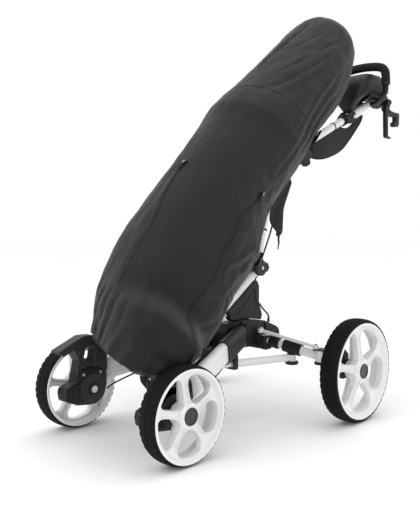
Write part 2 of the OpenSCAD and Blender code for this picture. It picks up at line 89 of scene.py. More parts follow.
area("key", (-0.9, -3.2, 3.4), (0, 0, 0.5), 2.2, 30)
area("side", (3.4, -0.2, 2.2), (0, 0, 0.5), 2.4, 10)
area("top", (0.2, 0.6, 3.6), (0, 0, 0.4), 2.6, 14)


# ------------------------------------------------------------------ materials
def nodes_of(name):
    m = bpy.data.materials.new(name)
    m.use_nodes = True
    nt = m.node_tree
    bsdf = nt.nodes["Principled BSDF"]
    return m, nt, bsdf


def nnew(nt, kind, **kw):
    n = nt.nodes.new(kind)
    for k, v in kw.items():
        setattr(n, k, v)
    return n


def noise_node(nt, coord, scale, detail=4.0, rough=0.55, stretch=None):
    src = coord
    if stretch is not None:
        mp = nnew(nt, "ShaderNodeMapping")
        mp.inputs["Scale"].default_value = stretch
        nt.links.new(coord, mp.inputs["Vector"])
        src = mp.outputs["Vector"]
    n = nnew(nt, "ShaderNodeTexNoise")
    n.inputs["Scale"].default_value = scale
    n.inputs["Detail"].default_value = detail
    n.inputs["Roughness"].default_value = rough
    nt.links.new(src, n.inputs["Vector"])
    return n


def ramp(nt, fac, lo, hi, a=0.3, b=0.7):
    r = nnew(nt, "ShaderNodeValToRGB")
    r.color_ramp.elements[0].position = a
    r.color_ramp.elements[1].position = b
    r.color_ramp.elements[0].color = lo
    r.color_ramp.elements[1].color = hi
    nt.links.new(fac, r.inputs["Fac"])
    return r


def c4(c, k=1.0):
    return (c[0] * k, c[1] * k, c[2] * k, 1.0)


def surface(name, base, rough=0.5, metallic=0.0, spec=0.5, coarse=6.0, vary=0.12, grain=900.0,
            grain_amt=0.15, grain_dist=0.0002, rough_var=0.12, coat=0.0, wear=0.0, stretch=None):
    """Moulded plastic, paint or metal: blotchy colour, uneven gloss, fine grain, paler rubbed edges."""
    m, nt, b = nodes_of(name)
    tc = nnew(nt, "ShaderNodeTexCoord").outputs["Object"]
    n1 = noise_node(nt, tc, coarse, 5.0)
    r1 = ramp(nt, n1.outputs["Fac"], c4(base, 1 - vary), c4(base, 1 + vary))
    colour = r1.outputs["Color"]
    if wear > 0:
        geo = nnew(nt, "ShaderNodeNewGeometry")
        rp = ramp(nt, geo.outputs["Pointiness"], (0, 0, 0, 1), (1, 1, 1, 1), 0.52, 0.60)
        wn = noise_node(nt, tc, 60.0, 6.0)
        mul = nnew(nt, "ShaderNodeMath", operation="MULTIPLY")
        nt.links.new(rp.outputs["Color"], mul.inputs[0])
        nt.links.new(wn.outputs["Fac"], mul.inputs[1])
        mx = nnew(nt, "ShaderNodeMix", data_type="RGBA")
        mx.inputs["B"].default_value = (min(1, base[0] + wear), min(1, base[1] + wear), min(1, base[2] + wear), 1)
        nt.links.new(mul.outputs[0], mx.inputs["Factor"])
        nt.links.new(colour, mx.inputs["A"])
        colour = mx.outputs["Result"]
    nt.links.new(colour, b.inputs["Base Color"])
    n2 = noise_node(nt, tc, coarse * 7, 4.0, stretch=stretch)
    mr = nnew(nt, "ShaderNodeMapRange")
    mr.inputs["To Min"].default_value = max(0.05, rough - rough_var)
    mr.inputs["To Max"].default_value = min(1.0, rough + rough_var)
    nt.links.new(n2.outputs["Fac"], mr.inputs["Value"])
    nt.links.new(mr.outputs["Result"], b.inputs["Roughness"])
    n3 = noise_node(nt, tc, grain, 2.0, stretch=stretch)
    bp = nnew(nt, "ShaderNodeBump")
    bp.inputs["Strength"].default_value = grain_amt
    bp.inputs["Distance"].default_value = grain_dist
    nt.links.new(n3.outputs["Fac"], bp.inputs["Height"])
    nt.links.new(bp.outputs["Normal"], b.inputs["Normal"])
    b.inputs["Metallic"].default_value = metallic
    b.inputs["Specular IOR Level"].default_value = spec
    b.inputs["Coat Weight"].default_value = coat
    return m


def cloth(name, base, pitch=0.0009, weave=0.5, rough=0.62, sheen=0.25, vary=0.14, crumple=0.35, dist=0.0004, crumple_scale=14.0):
    """Woven nylon: warp and weft bumps, fine crumple, sheen and slow colour change; the colour is also darkened where
    the weave bump is low, as painted shade between the threads.
    """
    m, nt, b = nodes_of(name)
    tc = nnew(nt, "ShaderNodeTexCoord").outputs["Object"]
    n1 = noise_node(nt, tc, 5.0, 6.0, 0.6)
    r1 = ramp(nt, n1.outputs["Fac"], c4(base, 1 - vary), c4(base, 1 + vary))
    w1 = nnew(nt, "ShaderNodeTexWave", wave_type="BANDS", bands_direction="X")
    w1.inputs["Scale"].default_value = 0.314 / pitch / 2.0
    w2 = nnew(nt, "ShaderNodeTexWave", wave_type="BANDS", bands_direction="Z")
    w2.inputs["Scale"].default_value = 0.314 / pitch / 2.0
    nt.links.new(tc, w1.inputs["Vector"])
    nt.links.new(tc, w2.inputs["Vector"])
    mul = nnew(nt, "ShaderNodeMath", operation="MULTIPLY")
    nt.links.new(w1.outputs["Fac"], mul.inputs[0])
    nt.links.new(w2.outputs["Fac"], mul.inputs[1])
    # painted shade: the base colour is multiplied down by up to 22% where the weave's bump height is low, between the
    # threads
    weave_gap_shade_mix = nnew(nt, "ShaderNodeMix", data_type="RGBA")
    weave_gap_shade_mix.blend_type = "MULTIPLY"
    weave_gap_shade_mix.inputs["Factor"].default_value = 0.22
    nt.links.new(r1.outputs["Color"], weave_gap_shade_mix.inputs["A"])
    nt.links.new(mul.outputs[0], weave_gap_shade_mix.inputs["B"])
    nt.links.new(weave_gap_shade_mix.outputs["Result"], b.inputs["Base Color"])
    n2 = noise_node(nt, tc, crumple_scale, 8.0, 0.62)
    mr = nnew(nt, "ShaderNodeMapRange")
    mr.inputs["To Min"].default_value = rough - 0.1
    mr.inputs["To Max"].default_value = rough + 0.12
    nt.links.new(n2.outputs["Fac"], mr.inputs["Value"])
    nt.links.new(mr.outputs["Result"], b.inputs["Roughness"])
    b1 = nnew(nt, "ShaderNodeBump")
    b1.inputs["Strength"].default_value = crumple
    b1.inputs["Distance"].default_value = 0.004
    nt.links.new(n2.outputs["Fac"], b1.inputs["Height"])
    b2 = nnew(nt, "ShaderNodeBump")
    b2.inputs["Strength"].default_value = weave
    b2.inputs["Distance"].default_value = dist
    nt.links.new(mul.outputs[0], b2.inputs["Height"])
    nt.links.new(b1.outputs["Normal"], b2.inputs["Normal"])
    nt.links.new(b2.outputs["Normal"], b.inputs["Normal"])
    b.inputs["Sheen Weight"].default_value = sheen
    b.inputs["Sheen Roughness"].default_value = 0.5
    b.inputs["Specular IOR Level"].default_value = 0.16
    return m


M = dict(
    white=surface("white_powder_coat", (0.80, 0.80, 0.79), 0.34, spec=0.5, coarse=3.0, vary=0.03, grain=700, grain_amt=0.10, coat=0.12),
    rim=surface("rim_white_nylon", (0.80, 0.80, 0.785), 0.36, spec=0.5, coarse=8.0, vary=0.035, grain=1100, grain_amt=0.08),
    black=surface("black_nylon_grain", (0.0075, 0.0075, 0.007), 0.46, spec=0.28, coarse=9.0, vary=0.25, grain=1500, grain_amt=0.35, wear=0.03),
    grey=surface("dark_grey_moulded", (0.030, 0.030, 0.027), 0.5, spec=0.3, coarse=7.0, vary=0.14, grain=1400, grain_amt=0.35, wear=0.05),
    olive=surface("console_shell", (0.0125, 0.0125, 0.0105), 0.46, spec=0.28, coarse=7.0, vary=0.14, grain=1400, grain_amt=0.30, wear=0.04),
    tyre=surface("tyre_rubber", (0.0035, 0.0035, 0.0035), 0.8, spec=0.2, coarse=14.0, vary=0.35, grain=600, grain_amt=0.5, grain_dist=0.0004, wear=0.02),
    steel=surface("zinc_steel", (0.55, 0.55, 0.56), 0.33, metallic=1.0, coarse=20.0, vary=0.08, grain=500, grain_amt=0.1, stretch=(1, 1, 12)),
    grip=surface("foam_grip", (0.008, 0.008, 0.008), 0.82, spec=0.3, coarse=18.0, vary=0.3, grain=420, grain_amt=0.8, grain_dist=0.0006),
    cable=surface("cable_sheath", (0.008, 0.008, 0.008), 0.38, coarse=20.0, vary=0.2, grain=900, grain_amt=0.12),
    cap=surface("hub_cap_black", (0.015, 0.014, 0.017), 0.32, coarse=20.0, vary=0.15, grain=1200, grain_amt=0.2, wear=0.03),
    zipm=surface("zip_black", (0.0022, 0.0022, 0.0026), 0.5, spec=0.3, coarse=40.0, vary=0.2, grain=1500, grain_amt=0.3),
    chrome=surface("club_steel_polish", (0.62, 0.62, 0.63), 0.18, metallic=1.0, coarse=15.0, vary=0.06, grain=300, grain_amt=0.05),
    cover=cloth("cover_nylon", (0.0150, 0.0150, 0.0172), rough=0.55, sheen=0.08, crumple=0.40),
    bind=cloth("cover_binding", (0.0065, 0.0065, 0.0075), pitch=0.0012, rough=0.7, sheen=0.1),
    flap=cloth("webbing_cloth", (0.014, 0.014, 0.012), pitch=0.0016, rough=0.74, sheen=0.15, crumple=0.2, crumple_scale=30),
    net=cloth("pouch_mesh", (0.022, 0.022, 0.019), pitch=0.0030, weave=1.0, rough=0.78, sheen=0.1, crumple=0.2, dist=0.001),
    bag=cloth("bag_polyester", (0.020, 0.024, 0.038), pitch=0.0012, rough=0.7, sheen=0.12, crumple=0.25),
    thread=cloth("stitch_thread", (0.040, 0.040, 0.043), pitch=0.0006, rough=0.6, sheen=0.2, crumple=0.1),
)
_f, _fnt, _fb = nodes_of("studio_floor")
_tc = nnew(_fnt, "ShaderNodeTexCoord").outputs["Object"]
_fr = ramp(_fnt, noise_node(_fnt, _tc, 1.5, 3.0).outputs["Fac"], (0.985, 0.985, 0.985, 1), (1.0, 1.0, 1.0, 1))
_fnt.links.new(_fr.outputs["Color"], _fb.inputs["Base Color"])
_fb.inputs["Roughness"].default_value = 0.9
bpy.ops.mesh.primitive_plane_add(size=60, location=(0, 0, 0))
floor = bpy.context.object
floor.name = "floor"
floor.data.materials.append(_f)


# ------------------------------------------------------------------ mesh helpers
def link(name, me, mat, smooth=True, sharp=38):
    o = bpy.data.objects.new(name, me)
    scene.collection.objects.link(o)
    if mat is not None:
        me.materials.clear()
        me.materials.append(M[mat] if isinstance(mat, str) else mat)
    if smooth:
        me.polygons.foreach_set("use_smooth", [True] * len(me.polygons))
        me.set_sharp_from_angle(angle=rad(sharp))
    me.update()
    return o


def mesh(name, verts, faces, mat, smooth=True, sharp=38, fix=True):
    me = bpy.data.meshes.new(name)
    me.from_pydata([tuple(v) for v in verts], [], [tuple(f) for f in faces])
    me.validate()
    if fix:
        bm = bmesh.new()
        bm.from_mesh(me)
        bmesh.ops.remove_doubles(bm, verts=bm.verts, dist=2e-6)
        bmesh.ops.recalc_face_normals(bm, faces=bm.faces)
        bm.to_mesh(me)
        bm.free()
    return link(name, me, mat, smooth, sharp)


def bake(o):
    dg = bpy.context.evaluated_depsgraph_get()
    dg.update()
    me = bpy.data.meshes.new_from_object(o.evaluated_get(dg))
    o.modifiers.clear()
    o.data = me
    return o


def bevelled(o, width, segs=3, angle=28, sharp=50):
    md = o.modifiers.new("b", "BEVEL")
    md.width = width / 1000.0
    md.segments = segs
    md.limit_method = "ANGLE"
    md.angle_limit = rad(angle)
    md.use_clamp_overlap = True
    wn = o.modifiers.new("w", "WEIGHTED_NORMAL")
    wn.keep_sharp = True
    bake(o)
    me = o.data
    me.polygons.foreach_set("use_smooth", [True] * len(me.polygons))
    return o


def soften(node, mat, width=1.6, segs=3, angle=28, name=None, replace=True):
    """A copy of a CAD node with rounded edges, which then stands for it."""
    src = N[node].data
    bm = bmesh.new()
    bm.from_mesh(src)
    bmesh.ops.remove_doubles(bm, verts=bm.verts, dist=4e-6)
    bmesh.ops.dissolve_limit(bm, angle_limit=rad(0.8), verts=bm.verts[:], edges=bm.edges[:])
    bm.verts.ensure_lookup_table()
    vs = [v.co.copy() for v in bm.verts]
    for i, v in enumerate(bm.verts):
        v.index = i
    fs = [[v.index for v in f.verts] for f in bm.faces]
    bm.free()
    o = mesh((name or node) + "_piece", vs, fs, mat)
    bevelled(o, width, segs, angle)
    if replace:
        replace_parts(o, node)
    return o


def prism(name, x0, x1, pts, mat, width=2.0, segs=3, angle=25):
    """Side profile in Y and Z (cart mm), thick along X, with rounded edges."""
    n = len(pts)
    vs = [V(x0, y, z) for y, z in pts] + [V(x1, y, z) for y, z in pts]
    fs = [list(range(n))[::-1], list(range(n, 2 * n))]
    fs += [[i, (i + 1) % n, n + (i + 1) % n, n + i] for i in range(n)]
    o = mesh(name, vs, fs, mat)
    return bevelled(o, width, segs, angle) if width else o


def crom(P, m, closed=False):
    P = [Vector(p) for p in P]
    out = []
    k = len(P)
    rng = range(k if closed else k - 1)
    for i in rng:
        g = (lambda j: P[j % k]) if closed else (lambda j: P[max(0, min(k - 1, j))])
        a, b, c, d = g(i - 1), g(i), g(i + 1), g(i + 2)
        for j in range(m):
            t = j / m
            out.append(0.5 * ((2 * b) + (c - a) * t + (2 * a - 5 * b + 4 * c - d) * t * t + (3 * b - a - 3 * c + d) * t ** 3))
    if not closed:
        out.append(P[-1])
    return out


def sweep_data(P, radius, n=24, closed=False, caps=True, prof=None, up=None):
    """Rings round a path. radius may be a number or a function of the share of the way; prof(angle, share) scales it."""
    P = [Vector(p) for p in P]
    k = len(P)
    T = []
    for i in range(k):
        a = P[(i - 1) % k] if closed or i > 0 else P[0]
        b = P[(i + 1) % k] if closed or i < k - 1 else P[-1]
        T.append((b - a).normalized())
    u = Vector(up) if up is not None else (Vector((0, 0, 1)) if abs(T[0].z) < 0.9 else Vector((1, 0, 0)))
    u = (u - T[0] * u.dot(T[0])).normalized()
    vs, fs = [], []
    for i in range(k):
        u = (u - T[i] * u.dot(T[i])).normalized()
        w = T[i].cross(u)
        s = i / (k - 1)
        r = radius(s) if callable(radius) else radius
        for j in range(n):
            a = 2 * math.pi * j / n
            q = prof(a, s) if prof else 1.0
            qx, qy = q if isinstance(q, tuple) else (q, q)
            vs.append(P[i] + (u * math.cos(a) * qx + w * math.sin(a) * qy) * r)
    rows = k if closed else k - 1
    for i in range(rows):
        for j in range(n):
            a, b = i * n + j, i * n + (j + 1) % n
            c, d = ((i + 1) % k) * n + (j + 1) % n, ((i + 1) % k) * n + j
            fs.append([a, b, c, d])
    if caps and not closed:
        fs.append(list(range(n))[::-1])
        fs.append([(k - 1) * n + j for j in range(n)])
    return vs, fs


def sweep(name, P, radius, mat, n=24, closed=False, caps=True, prof=None, up=None, sharp=40):
    vs, fs = sweep_data(P, radius, n, closed, caps, prof, up)
    return mesh(name, vs, fs, mat, sharp=sharp)


def lathe_data(prof, centre, axis, n=96, start=None, closed=True):
    """prof: (distance along the axis, radius) in mm; closed profile makes a closed ring."""
    ax = Vector(axis).normalized()
    u = Vector(start) if start is not None else (Vector((0, 0, 1)) if abs(ax.z) < 0.9 else Vector((1, 0, 0)))
    u = (u - ax * u.dot(ax)).normalized()
    w = ax.cross(u)
    k = len(prof)
    vs, fs = [], []
    for i in range(n):
        a = 2 * math.pi * i / n
        d = u * math.cos(a) + w * math.sin(a)
        for x, r in prof:
            vs.append(centre + ax * (x / 1000.0) + d * (r / 1000.0))
    for i in range(n):
        for j in range(k if closed else k - 1):
            a, b = i * k + j, i * k + (j + 1) % k
            c, d = ((i + 1) % n) * k + (j + 1) % k, ((i + 1) % n) * k + j
            fs.append([a, b, c, d])
    return vs, fs


def lathe(name, prof, centre, axis, mat, n=96, closed=True, sharp=35):
    vs, fs = lathe_data(prof, centre, axis, n, closed=closed)
    return mesh(name, vs, fs, mat, sharp=sharp)


def merge(name, objs, sharp=None):
    """Joins pieces of one body into one object, keeping their materials."""
    bm = bmesh.new()
    mats = []
    for o in objs:
        base = len(mats)
        for mt in o.data.materials:
            if mt not in mats:
                mats.append(mt)
        idx = [mats.index(mt) for mt in o.data.materials] or [0]
        tmp = o.data.copy()
        tmp.transform(o.matrix_world)
        mi = np.zeros(len(tmp.polygons), np.int32)
        tmp.polygons.foreach_get("material_index", mi)
        mi = np.array([idx[min(i, len(idx) - 1)] for i in mi], np.int32)
        tmp.polygons.foreach_set("material_index", mi)
        bm.from_mesh(tmp)
        bpy.data.meshes.remove(tmp)
    me = bpy.data.meshes.new(name)
    bm.to_mesh(me)
    bm.free()
    out = bpy.data.objects.new(name, me)
    for mt in mats:
        me.materials.append(mt)
    scene.collection.objects.link(out)
    if sharp:
        me.polygons.foreach_set("use_smooth", [True] * len(me.polygons))
        me.set_sharp_from_angle(angle=rad(sharp))
    for o in objs:
        rep = list(o.get("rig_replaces", []))
        if rep:
            out["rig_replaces"] = sorted(set(list(out.get("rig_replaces", [])) + rep))
        bpy.data.objects.remove(o)
    return out


def mirrored(o, name):
    me = o.data.copy()
    me.transform(Matrix.Scale(-1, 4, (1, 0, 0)))
    me.flip_normals()
    c = bpy.data.objects.new(name, me)
    scene.collection.objects.link(c)
    return c


def put(o, body, slot, *nodes):
    if nodes:
        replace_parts(o, *nodes)
    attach(o, body)
    return o


def screw(name, p, d, r, mat="steel", recess=True):
    """Pan head with a round recess in its top, facing along d."""
    prof = [(0, 0.01), (0, r), (r * 0.25, r), (r * 0.5, r * 0.8), (r * 0.6, r * 0.35), (r * 0.35, r * 0.3), (r * 0.3, 0.01)]
    return lathe(name, prof, p, d, mat, n=24, closed=False, sharp=50)


def smooth01(t):
    t = np.clip(t, 0, 1)
    return t * t * (3 - 2 * t)


# ------------------------------------------------------------------ wheels
def tyre_piece(name, centre, R, ri, blocks):
    nth = blocks * 9
    xs = [-27.7, -26.4, -24.5, -22, -19, -16.5, -14.2, -12.6, -9, -5, -2.6, -1.6, 0, 1.6, 2.6, 5, 9, 12.6, 14.2, 16.5, 19, 22, 24.5, 26.4, 27.7]
    vs, fs = [], []
    inner = [(27.9, R - 7.0), (27.8, ri + 4.6), (26.5, ri + 0.35), (0, ri + 0.35), (-26.5, ri + 0.35), (-27.8, ri + 4.6), (-27.9, R - 7.0)]
    k = len(xs) + len(inner)
    for i in range(nth):
        a = 2 * math.pi * i / nth
        for x in xs:
            t = abs(x) / 28.0
            r = R - 0.2 - 4.6 * t ** 3.0
            ph = (i / 9.0 + (0.5 if x > 0 else 0.0)) % 1.0
            cut = smooth01((abs(ph - 0.5) - 0.30) / 0.12)
            sh = smooth01((abs(x) - 12.5) / 4.0)
            r -= 2.3 * cut * sh
            ph2 = (i / 4.5 + 0.25) % 1.0
            r -= 0.9 * smooth01((abs(ph2 - 0.5) - 0.34) / 0.1) * (1 - sh) * (0 if abs(x) < 3 else 1)
            if abs(x) < 2:
                r -= 1.4
            vs.append(centre + Vector((x, r * math.sin(a), r * math.cos(a))) / 1000.0)
        for x, r in inner:
            vs.append(centre + Vector((x, r * math.sin(a), r * math.cos(a))) / 1000.0)
    for i in range(nth):
        for j in range(k):
            a, b = i * k + j, i * k + (j + 1) % k
            c, d = ((i + 1) % nth) * k + (j + 1) % k, ((i + 1) % nth) * k + j
            fs.append([a, b, c, d])
    # thin raised rings on the side wall
    o = mesh(name + "_c", vs, fs, "tyre", sharp=32)
    rings = []
    for x in (27.9, -27.9):
        for rr in (R - 9.2, R - 7.6):
            s = 1 if x > 0 else -1
            prof = [(x - s * 0.4, rr - 0.5), (x + s * 0.1, rr - 0.4), (x + s * 0.25, rr), (x + s * 0.1, rr + 0.4), (x - s * 0.4, rr + 0.5)]
            if rr - 0.5 > ri + 4.4:
                rings.append(lathe(name + "_r", prof, centre, (1, 0, 0), "tyre", n=120))
    return merge(name, [o] + rings)


def rim_piece(name, centre, ri, phi0):
    k = ri / 113.0
    r_in, r_out = 33.0 * (0.5 + 0.5 * k), 103.0 * k
    rm, rh = (r_in + r_out) / 2, (r_out - r_in) / 2
    rows = [19, 23, 26.5, 28.5, 30, 32, 34, 35.5]
    ends = [0, 0.15, 0.5, 1.1, 2.0, 3.2, 5.0, 7.5, 11]
    rows = [r for r in rows if r < r_in - 0.3]
    rows += [r_in + e for e in ends]
    rows += list(np.linspace(r_in + 15, r_out - 15, 12))
    rows += [r_out - e for e in ends[::-1]]
    rows += [r_out + 1.0, r_out + 2.2, r_out + 3.4, 107.4 * k, 108.4 * k, 109.3 * k]
    rows = sorted(set(rows))
    topx = np.array([[19, 25.0], [27, 25.0], [30, 24.0], [34, 21.0], [45 * k, 18.0], [70 * k, 14.6], [88 * k, 14.0], [98 * k, 15.4], [103 * k, 18.6], [106.5 * k, 23.8], [109.5 * k, 27.4]])
    hw0 = 9.6 * (0.5 + 0.5 * k)
    V5, F5 = [], []
    ncol = None
    for sp in range(5):
        base = len(V5)
        phis = rad(phi0 + 72 * sp)
        info = []
        for r in rows:
            inside = r_in <= r <= r_out
            hw = hw0 + 0.6 * smooth01((45 * k - r) / (10 * k)) + 15.0 * k * max(0.0, (r - 74 * k) / (29 * k)) ** 2.0
            hw = min(hw, 30 * k)
            half = math.asin(min(0.95, hw / r)) if r > 12 else rad(36)
            if inside:
                t = min(1.0, abs((r - rm) / rh))
                rd = (1 - t ** 6.5) ** (1 / 6.5)
                a2 = rad(36) - (rad(36) - half) * rd
            else:
                a2 = rad(36)
            rib = 3.0 / r
            ach = min(max(0.02, half - rib), rad(30))
            dep = 7.0 * smooth01((r - 29.5) / 5.0) * (1 - smooth01((r - 76 * k) / (20 * k))) + 1.5 * smooth01((r - 60 * k) / (12 * k))
            dep *= 1 - smooth01((r - (r_out - 1)) / (6.0 * k))
            top = float(np.interp(r, topx[:, 0], topx[:, 1]))
            drop = 1.1 if (r_in + 0.05 < r < r_out - 0.05) else (0.5 if inside else 0.0)
            w = 0.9 / r
            e = 1.3 / r
            lo = ach + w
            hi = max(lo + 0.004, a2 - e)
            ang = [0.0, ach * 0.5, ach * 0.9, ach, lo, lo + (hi - lo) * 0.33, lo + (hi - lo) * 0.66, hi, (hi + a2) / 2, a2]
            hgt = [top - dep, top - dep, top - dep * 0.97, top - dep * 0.86, top - 0.15, top, top, top - drop * 0.12, top - drop * 0.4, top - drop]
            bot = -3.0 if r > 40 else -24.0 + 21.0 * smooth01((r - 26) / 12.0)
            info.append((r, ang, hgt, bot, inside))
        K = len(info[0][1])
        cols = 2 * K - 1
        for r, ang, hgt, bot, inside in info:
            A = [-a for a in ang[:0:-1]] + ang
            H = hgt[:0:-1] + hgt
            for a, h in zip(A, H):
                ph = phis + a
                V5.append(centre + Vector((h, r * math.sin(ph), r * math.cos(ph))) / 1000.0)
        off = len(info) * cols
        for r, ang, hgt, bot, inside in info:
            A = [-a for a in ang[:0:-1]] + ang
            for a in A:
                ph = phis + a
                V5.append(centre + Vector((bot, r * math.sin(ph), r * math.cos(ph))) / 1000.0)
        for i in range(len(info) - 1):
            for j in range(cols - 1):
                a, b, c, d = base + i * cols + j, base + i * cols + j + 1, base + (i + 1) * cols + j + 1, base + (i + 1) * cols + j
                F5.append([a, b, c, d])
                F5.append([d + off, c + off, b + off, a + off])
            if info[i][4] and info[i + 1][4]:
                for j, flip in ((0, 1), (cols - 1, 0)):
                    a, d = base + i * cols + j, base + (i + 1) * cols + j
                    q = [a, d, d + off, a + off]
                    F5.append(q[::-1] if flip else q)
        last = (len(info) - 1) * cols
        for j in range(cols - 1):
            a, b = base + last + j, base + last + j + 1
            F5.append([a, b, b + off, a + off])
            a, b = base + j, base + j + 1
            F5.append([b, a, a + off, b + off])
    disc = mesh(name + "_d", V5, F5, "rim", sharp=42)
    L = 117.2 * k if k < 1.1 else ri + 4.2
    q = ri
    barrel = [(27.6, q + 0.05), (28.0, q + 4.0), (28.9, L), (29.7, L - 0.4), (30.1, L - 1.4), (30.1, q - 1.2), (29.8, q - 2.6), (28.6, q - 4.0), (26.0, q - 4.9),
              (14, q - 6.2), (0, q - 6.6), (-14, q - 6.2), (-26, q - 4.9), (-28.6, q - 4.0), (-29.8, q - 2.6), (-30.1, q - 1.2), (-30.1, L - 1.4), (-29.7, L - 0.4), (-28.9, L), (-28.0, q + 4.0), (-27.6, q + 0.05)]
    bar = lathe(name + "_b", barrel, centre, (1, 0, 0), "rim", n=144, sharp=50)
    hub = [(-25.5, 8), (-25.5, 21), (-24.5, 23), (18, 27.5), (24.5, 27.6), (26.6, 27.0), (27.4, 25.6), (27.4, 22.9), (25.2, 22.6), (25.0, 8)]
    hb = lathe(name + "_h", hub, centre, (1, 0, 0), "rim", n=72, sharp=45)
    # stiffening ribs behind the disc, from the boss to the barrel
    backs = []
    for sp in range(5):
        ph = rad(phi0 + 72 * sp)
        u = Vector((0, math.sin(ph), math.cos(ph)))
        w = Vector((0, math.cos(ph), -math.sin(ph)))
        pr = [(-3.5, 24), (-3.5, (q - 7) * 0.99), (-14, (q - 7) * 0.99), (-22, 26)]
        vs = []
        for s in (-1.6, 1.6):
            for x, r in pr:
                vs.append(centre + (Vector((x, 0, 0)) + u * r + w * s) / 1000.0)
        fs = [[3, 2, 1, 0], [4, 5, 6, 7]] + [[i, (i + 1) % 4, 4 + (i + 1) % 4, 4 + i] for i in range(4)]
        backs.append(bevelled(mesh(name + "_k", vs, fs, "rim"), 0.6, 2))
    return merge(name, [disc, bar, hb] + backs)


def cap_piece(name, centre):
    prof = [(23, 0.01), (23, 22.2), (28.6, 22.2), (29.7, 21.6), (30.4, 20.4), (30.5, 19.2), (30.1, 18.6), (30.1, 8), (30.3, 0.01)]
    o = lathe(name, prof, centre, (1, 0, 0), "cap", n=72, closed=False, sharp=40)
    return o


for which, (cx_, cy_, cz_), R, ri, phi, blocks in (("front", (229, -308.7, 125), 125, 113, 283, 40), ("rear", (337, 308.7, 156), 156, 140, 283, 48)):
    c = V(cx_, cy_, cz_)
    parts = {"tyre": (tyre_piece(f"{which}_tyre_right_v", c, R, ri, blocks), "tyre"),
             "rim": (rim_piece(f"{which}_rim_right_v", c, ri, phi), "rim_white"),
             "hub_cap": (cap_piece(f"{which}_hub_cap_right_v", c), "black_plastic")}
    for part, (o, sl) in parts.items():
        l = mirrored(o, f"{which}_{part}_left_v")
        put(o, f"{which}_wheel_right", sl, f"{which}_{part}_right")
        put(l, f"{which}_wheel_left", sl, f"{which}_{part}_left")

# ------------------------------------------------------------------ rain cover
CS = np.array([[-12, 116, -2], [20, 134, -2], [60, 155, -6], [100, 169, -9], [150, 179, -13], [200, 184, -17], [260, 184, -24], [320, 184, -27], [380, 186.5, -25],
               [440, 186, -25], [500, 175, -35], [560, 165, -45], [620, 162, -47], [680, 163, -43], [740, 165, -41], [800, 169, -43], [860, 165, -38], [920, 158.5, -31],
               [980, 155.5, -25], [1040, 154, -16], [1100, 153, -7], [1160, 151, 0], [1220, 146, 4], [1280, 136, 2], [1340, 123, 0], [1372, 106, -1], [1390, 76, -2], [1399, 38, -2], [1401, 8, -2]], float)
_dense = np.linspace(-12, 1401, 2827)


def _soft(y, w=25):
    k = np.hanning(w)
    k /= k.sum()
    p = np.concatenate([2 * y[0] - y[w:0:-1], y, 2 * y[-1] - y[-2:-w - 2:-1]])
    return np.convolve(p, k, "same")[w:-w]


_r = np.interp(_dense, CS[:, 0], CS[:, 1])
_c = np.interp(_dense, CS[:, 0], CS[:, 2])
_rs = _soft(_r, 61)
_w = smooth01((1330 - _dense) / 40) * smooth01((_dense + 6) / 20)
_r = _r * (1 - _w) + _rs * _w
_c = _soft(_c, 81)
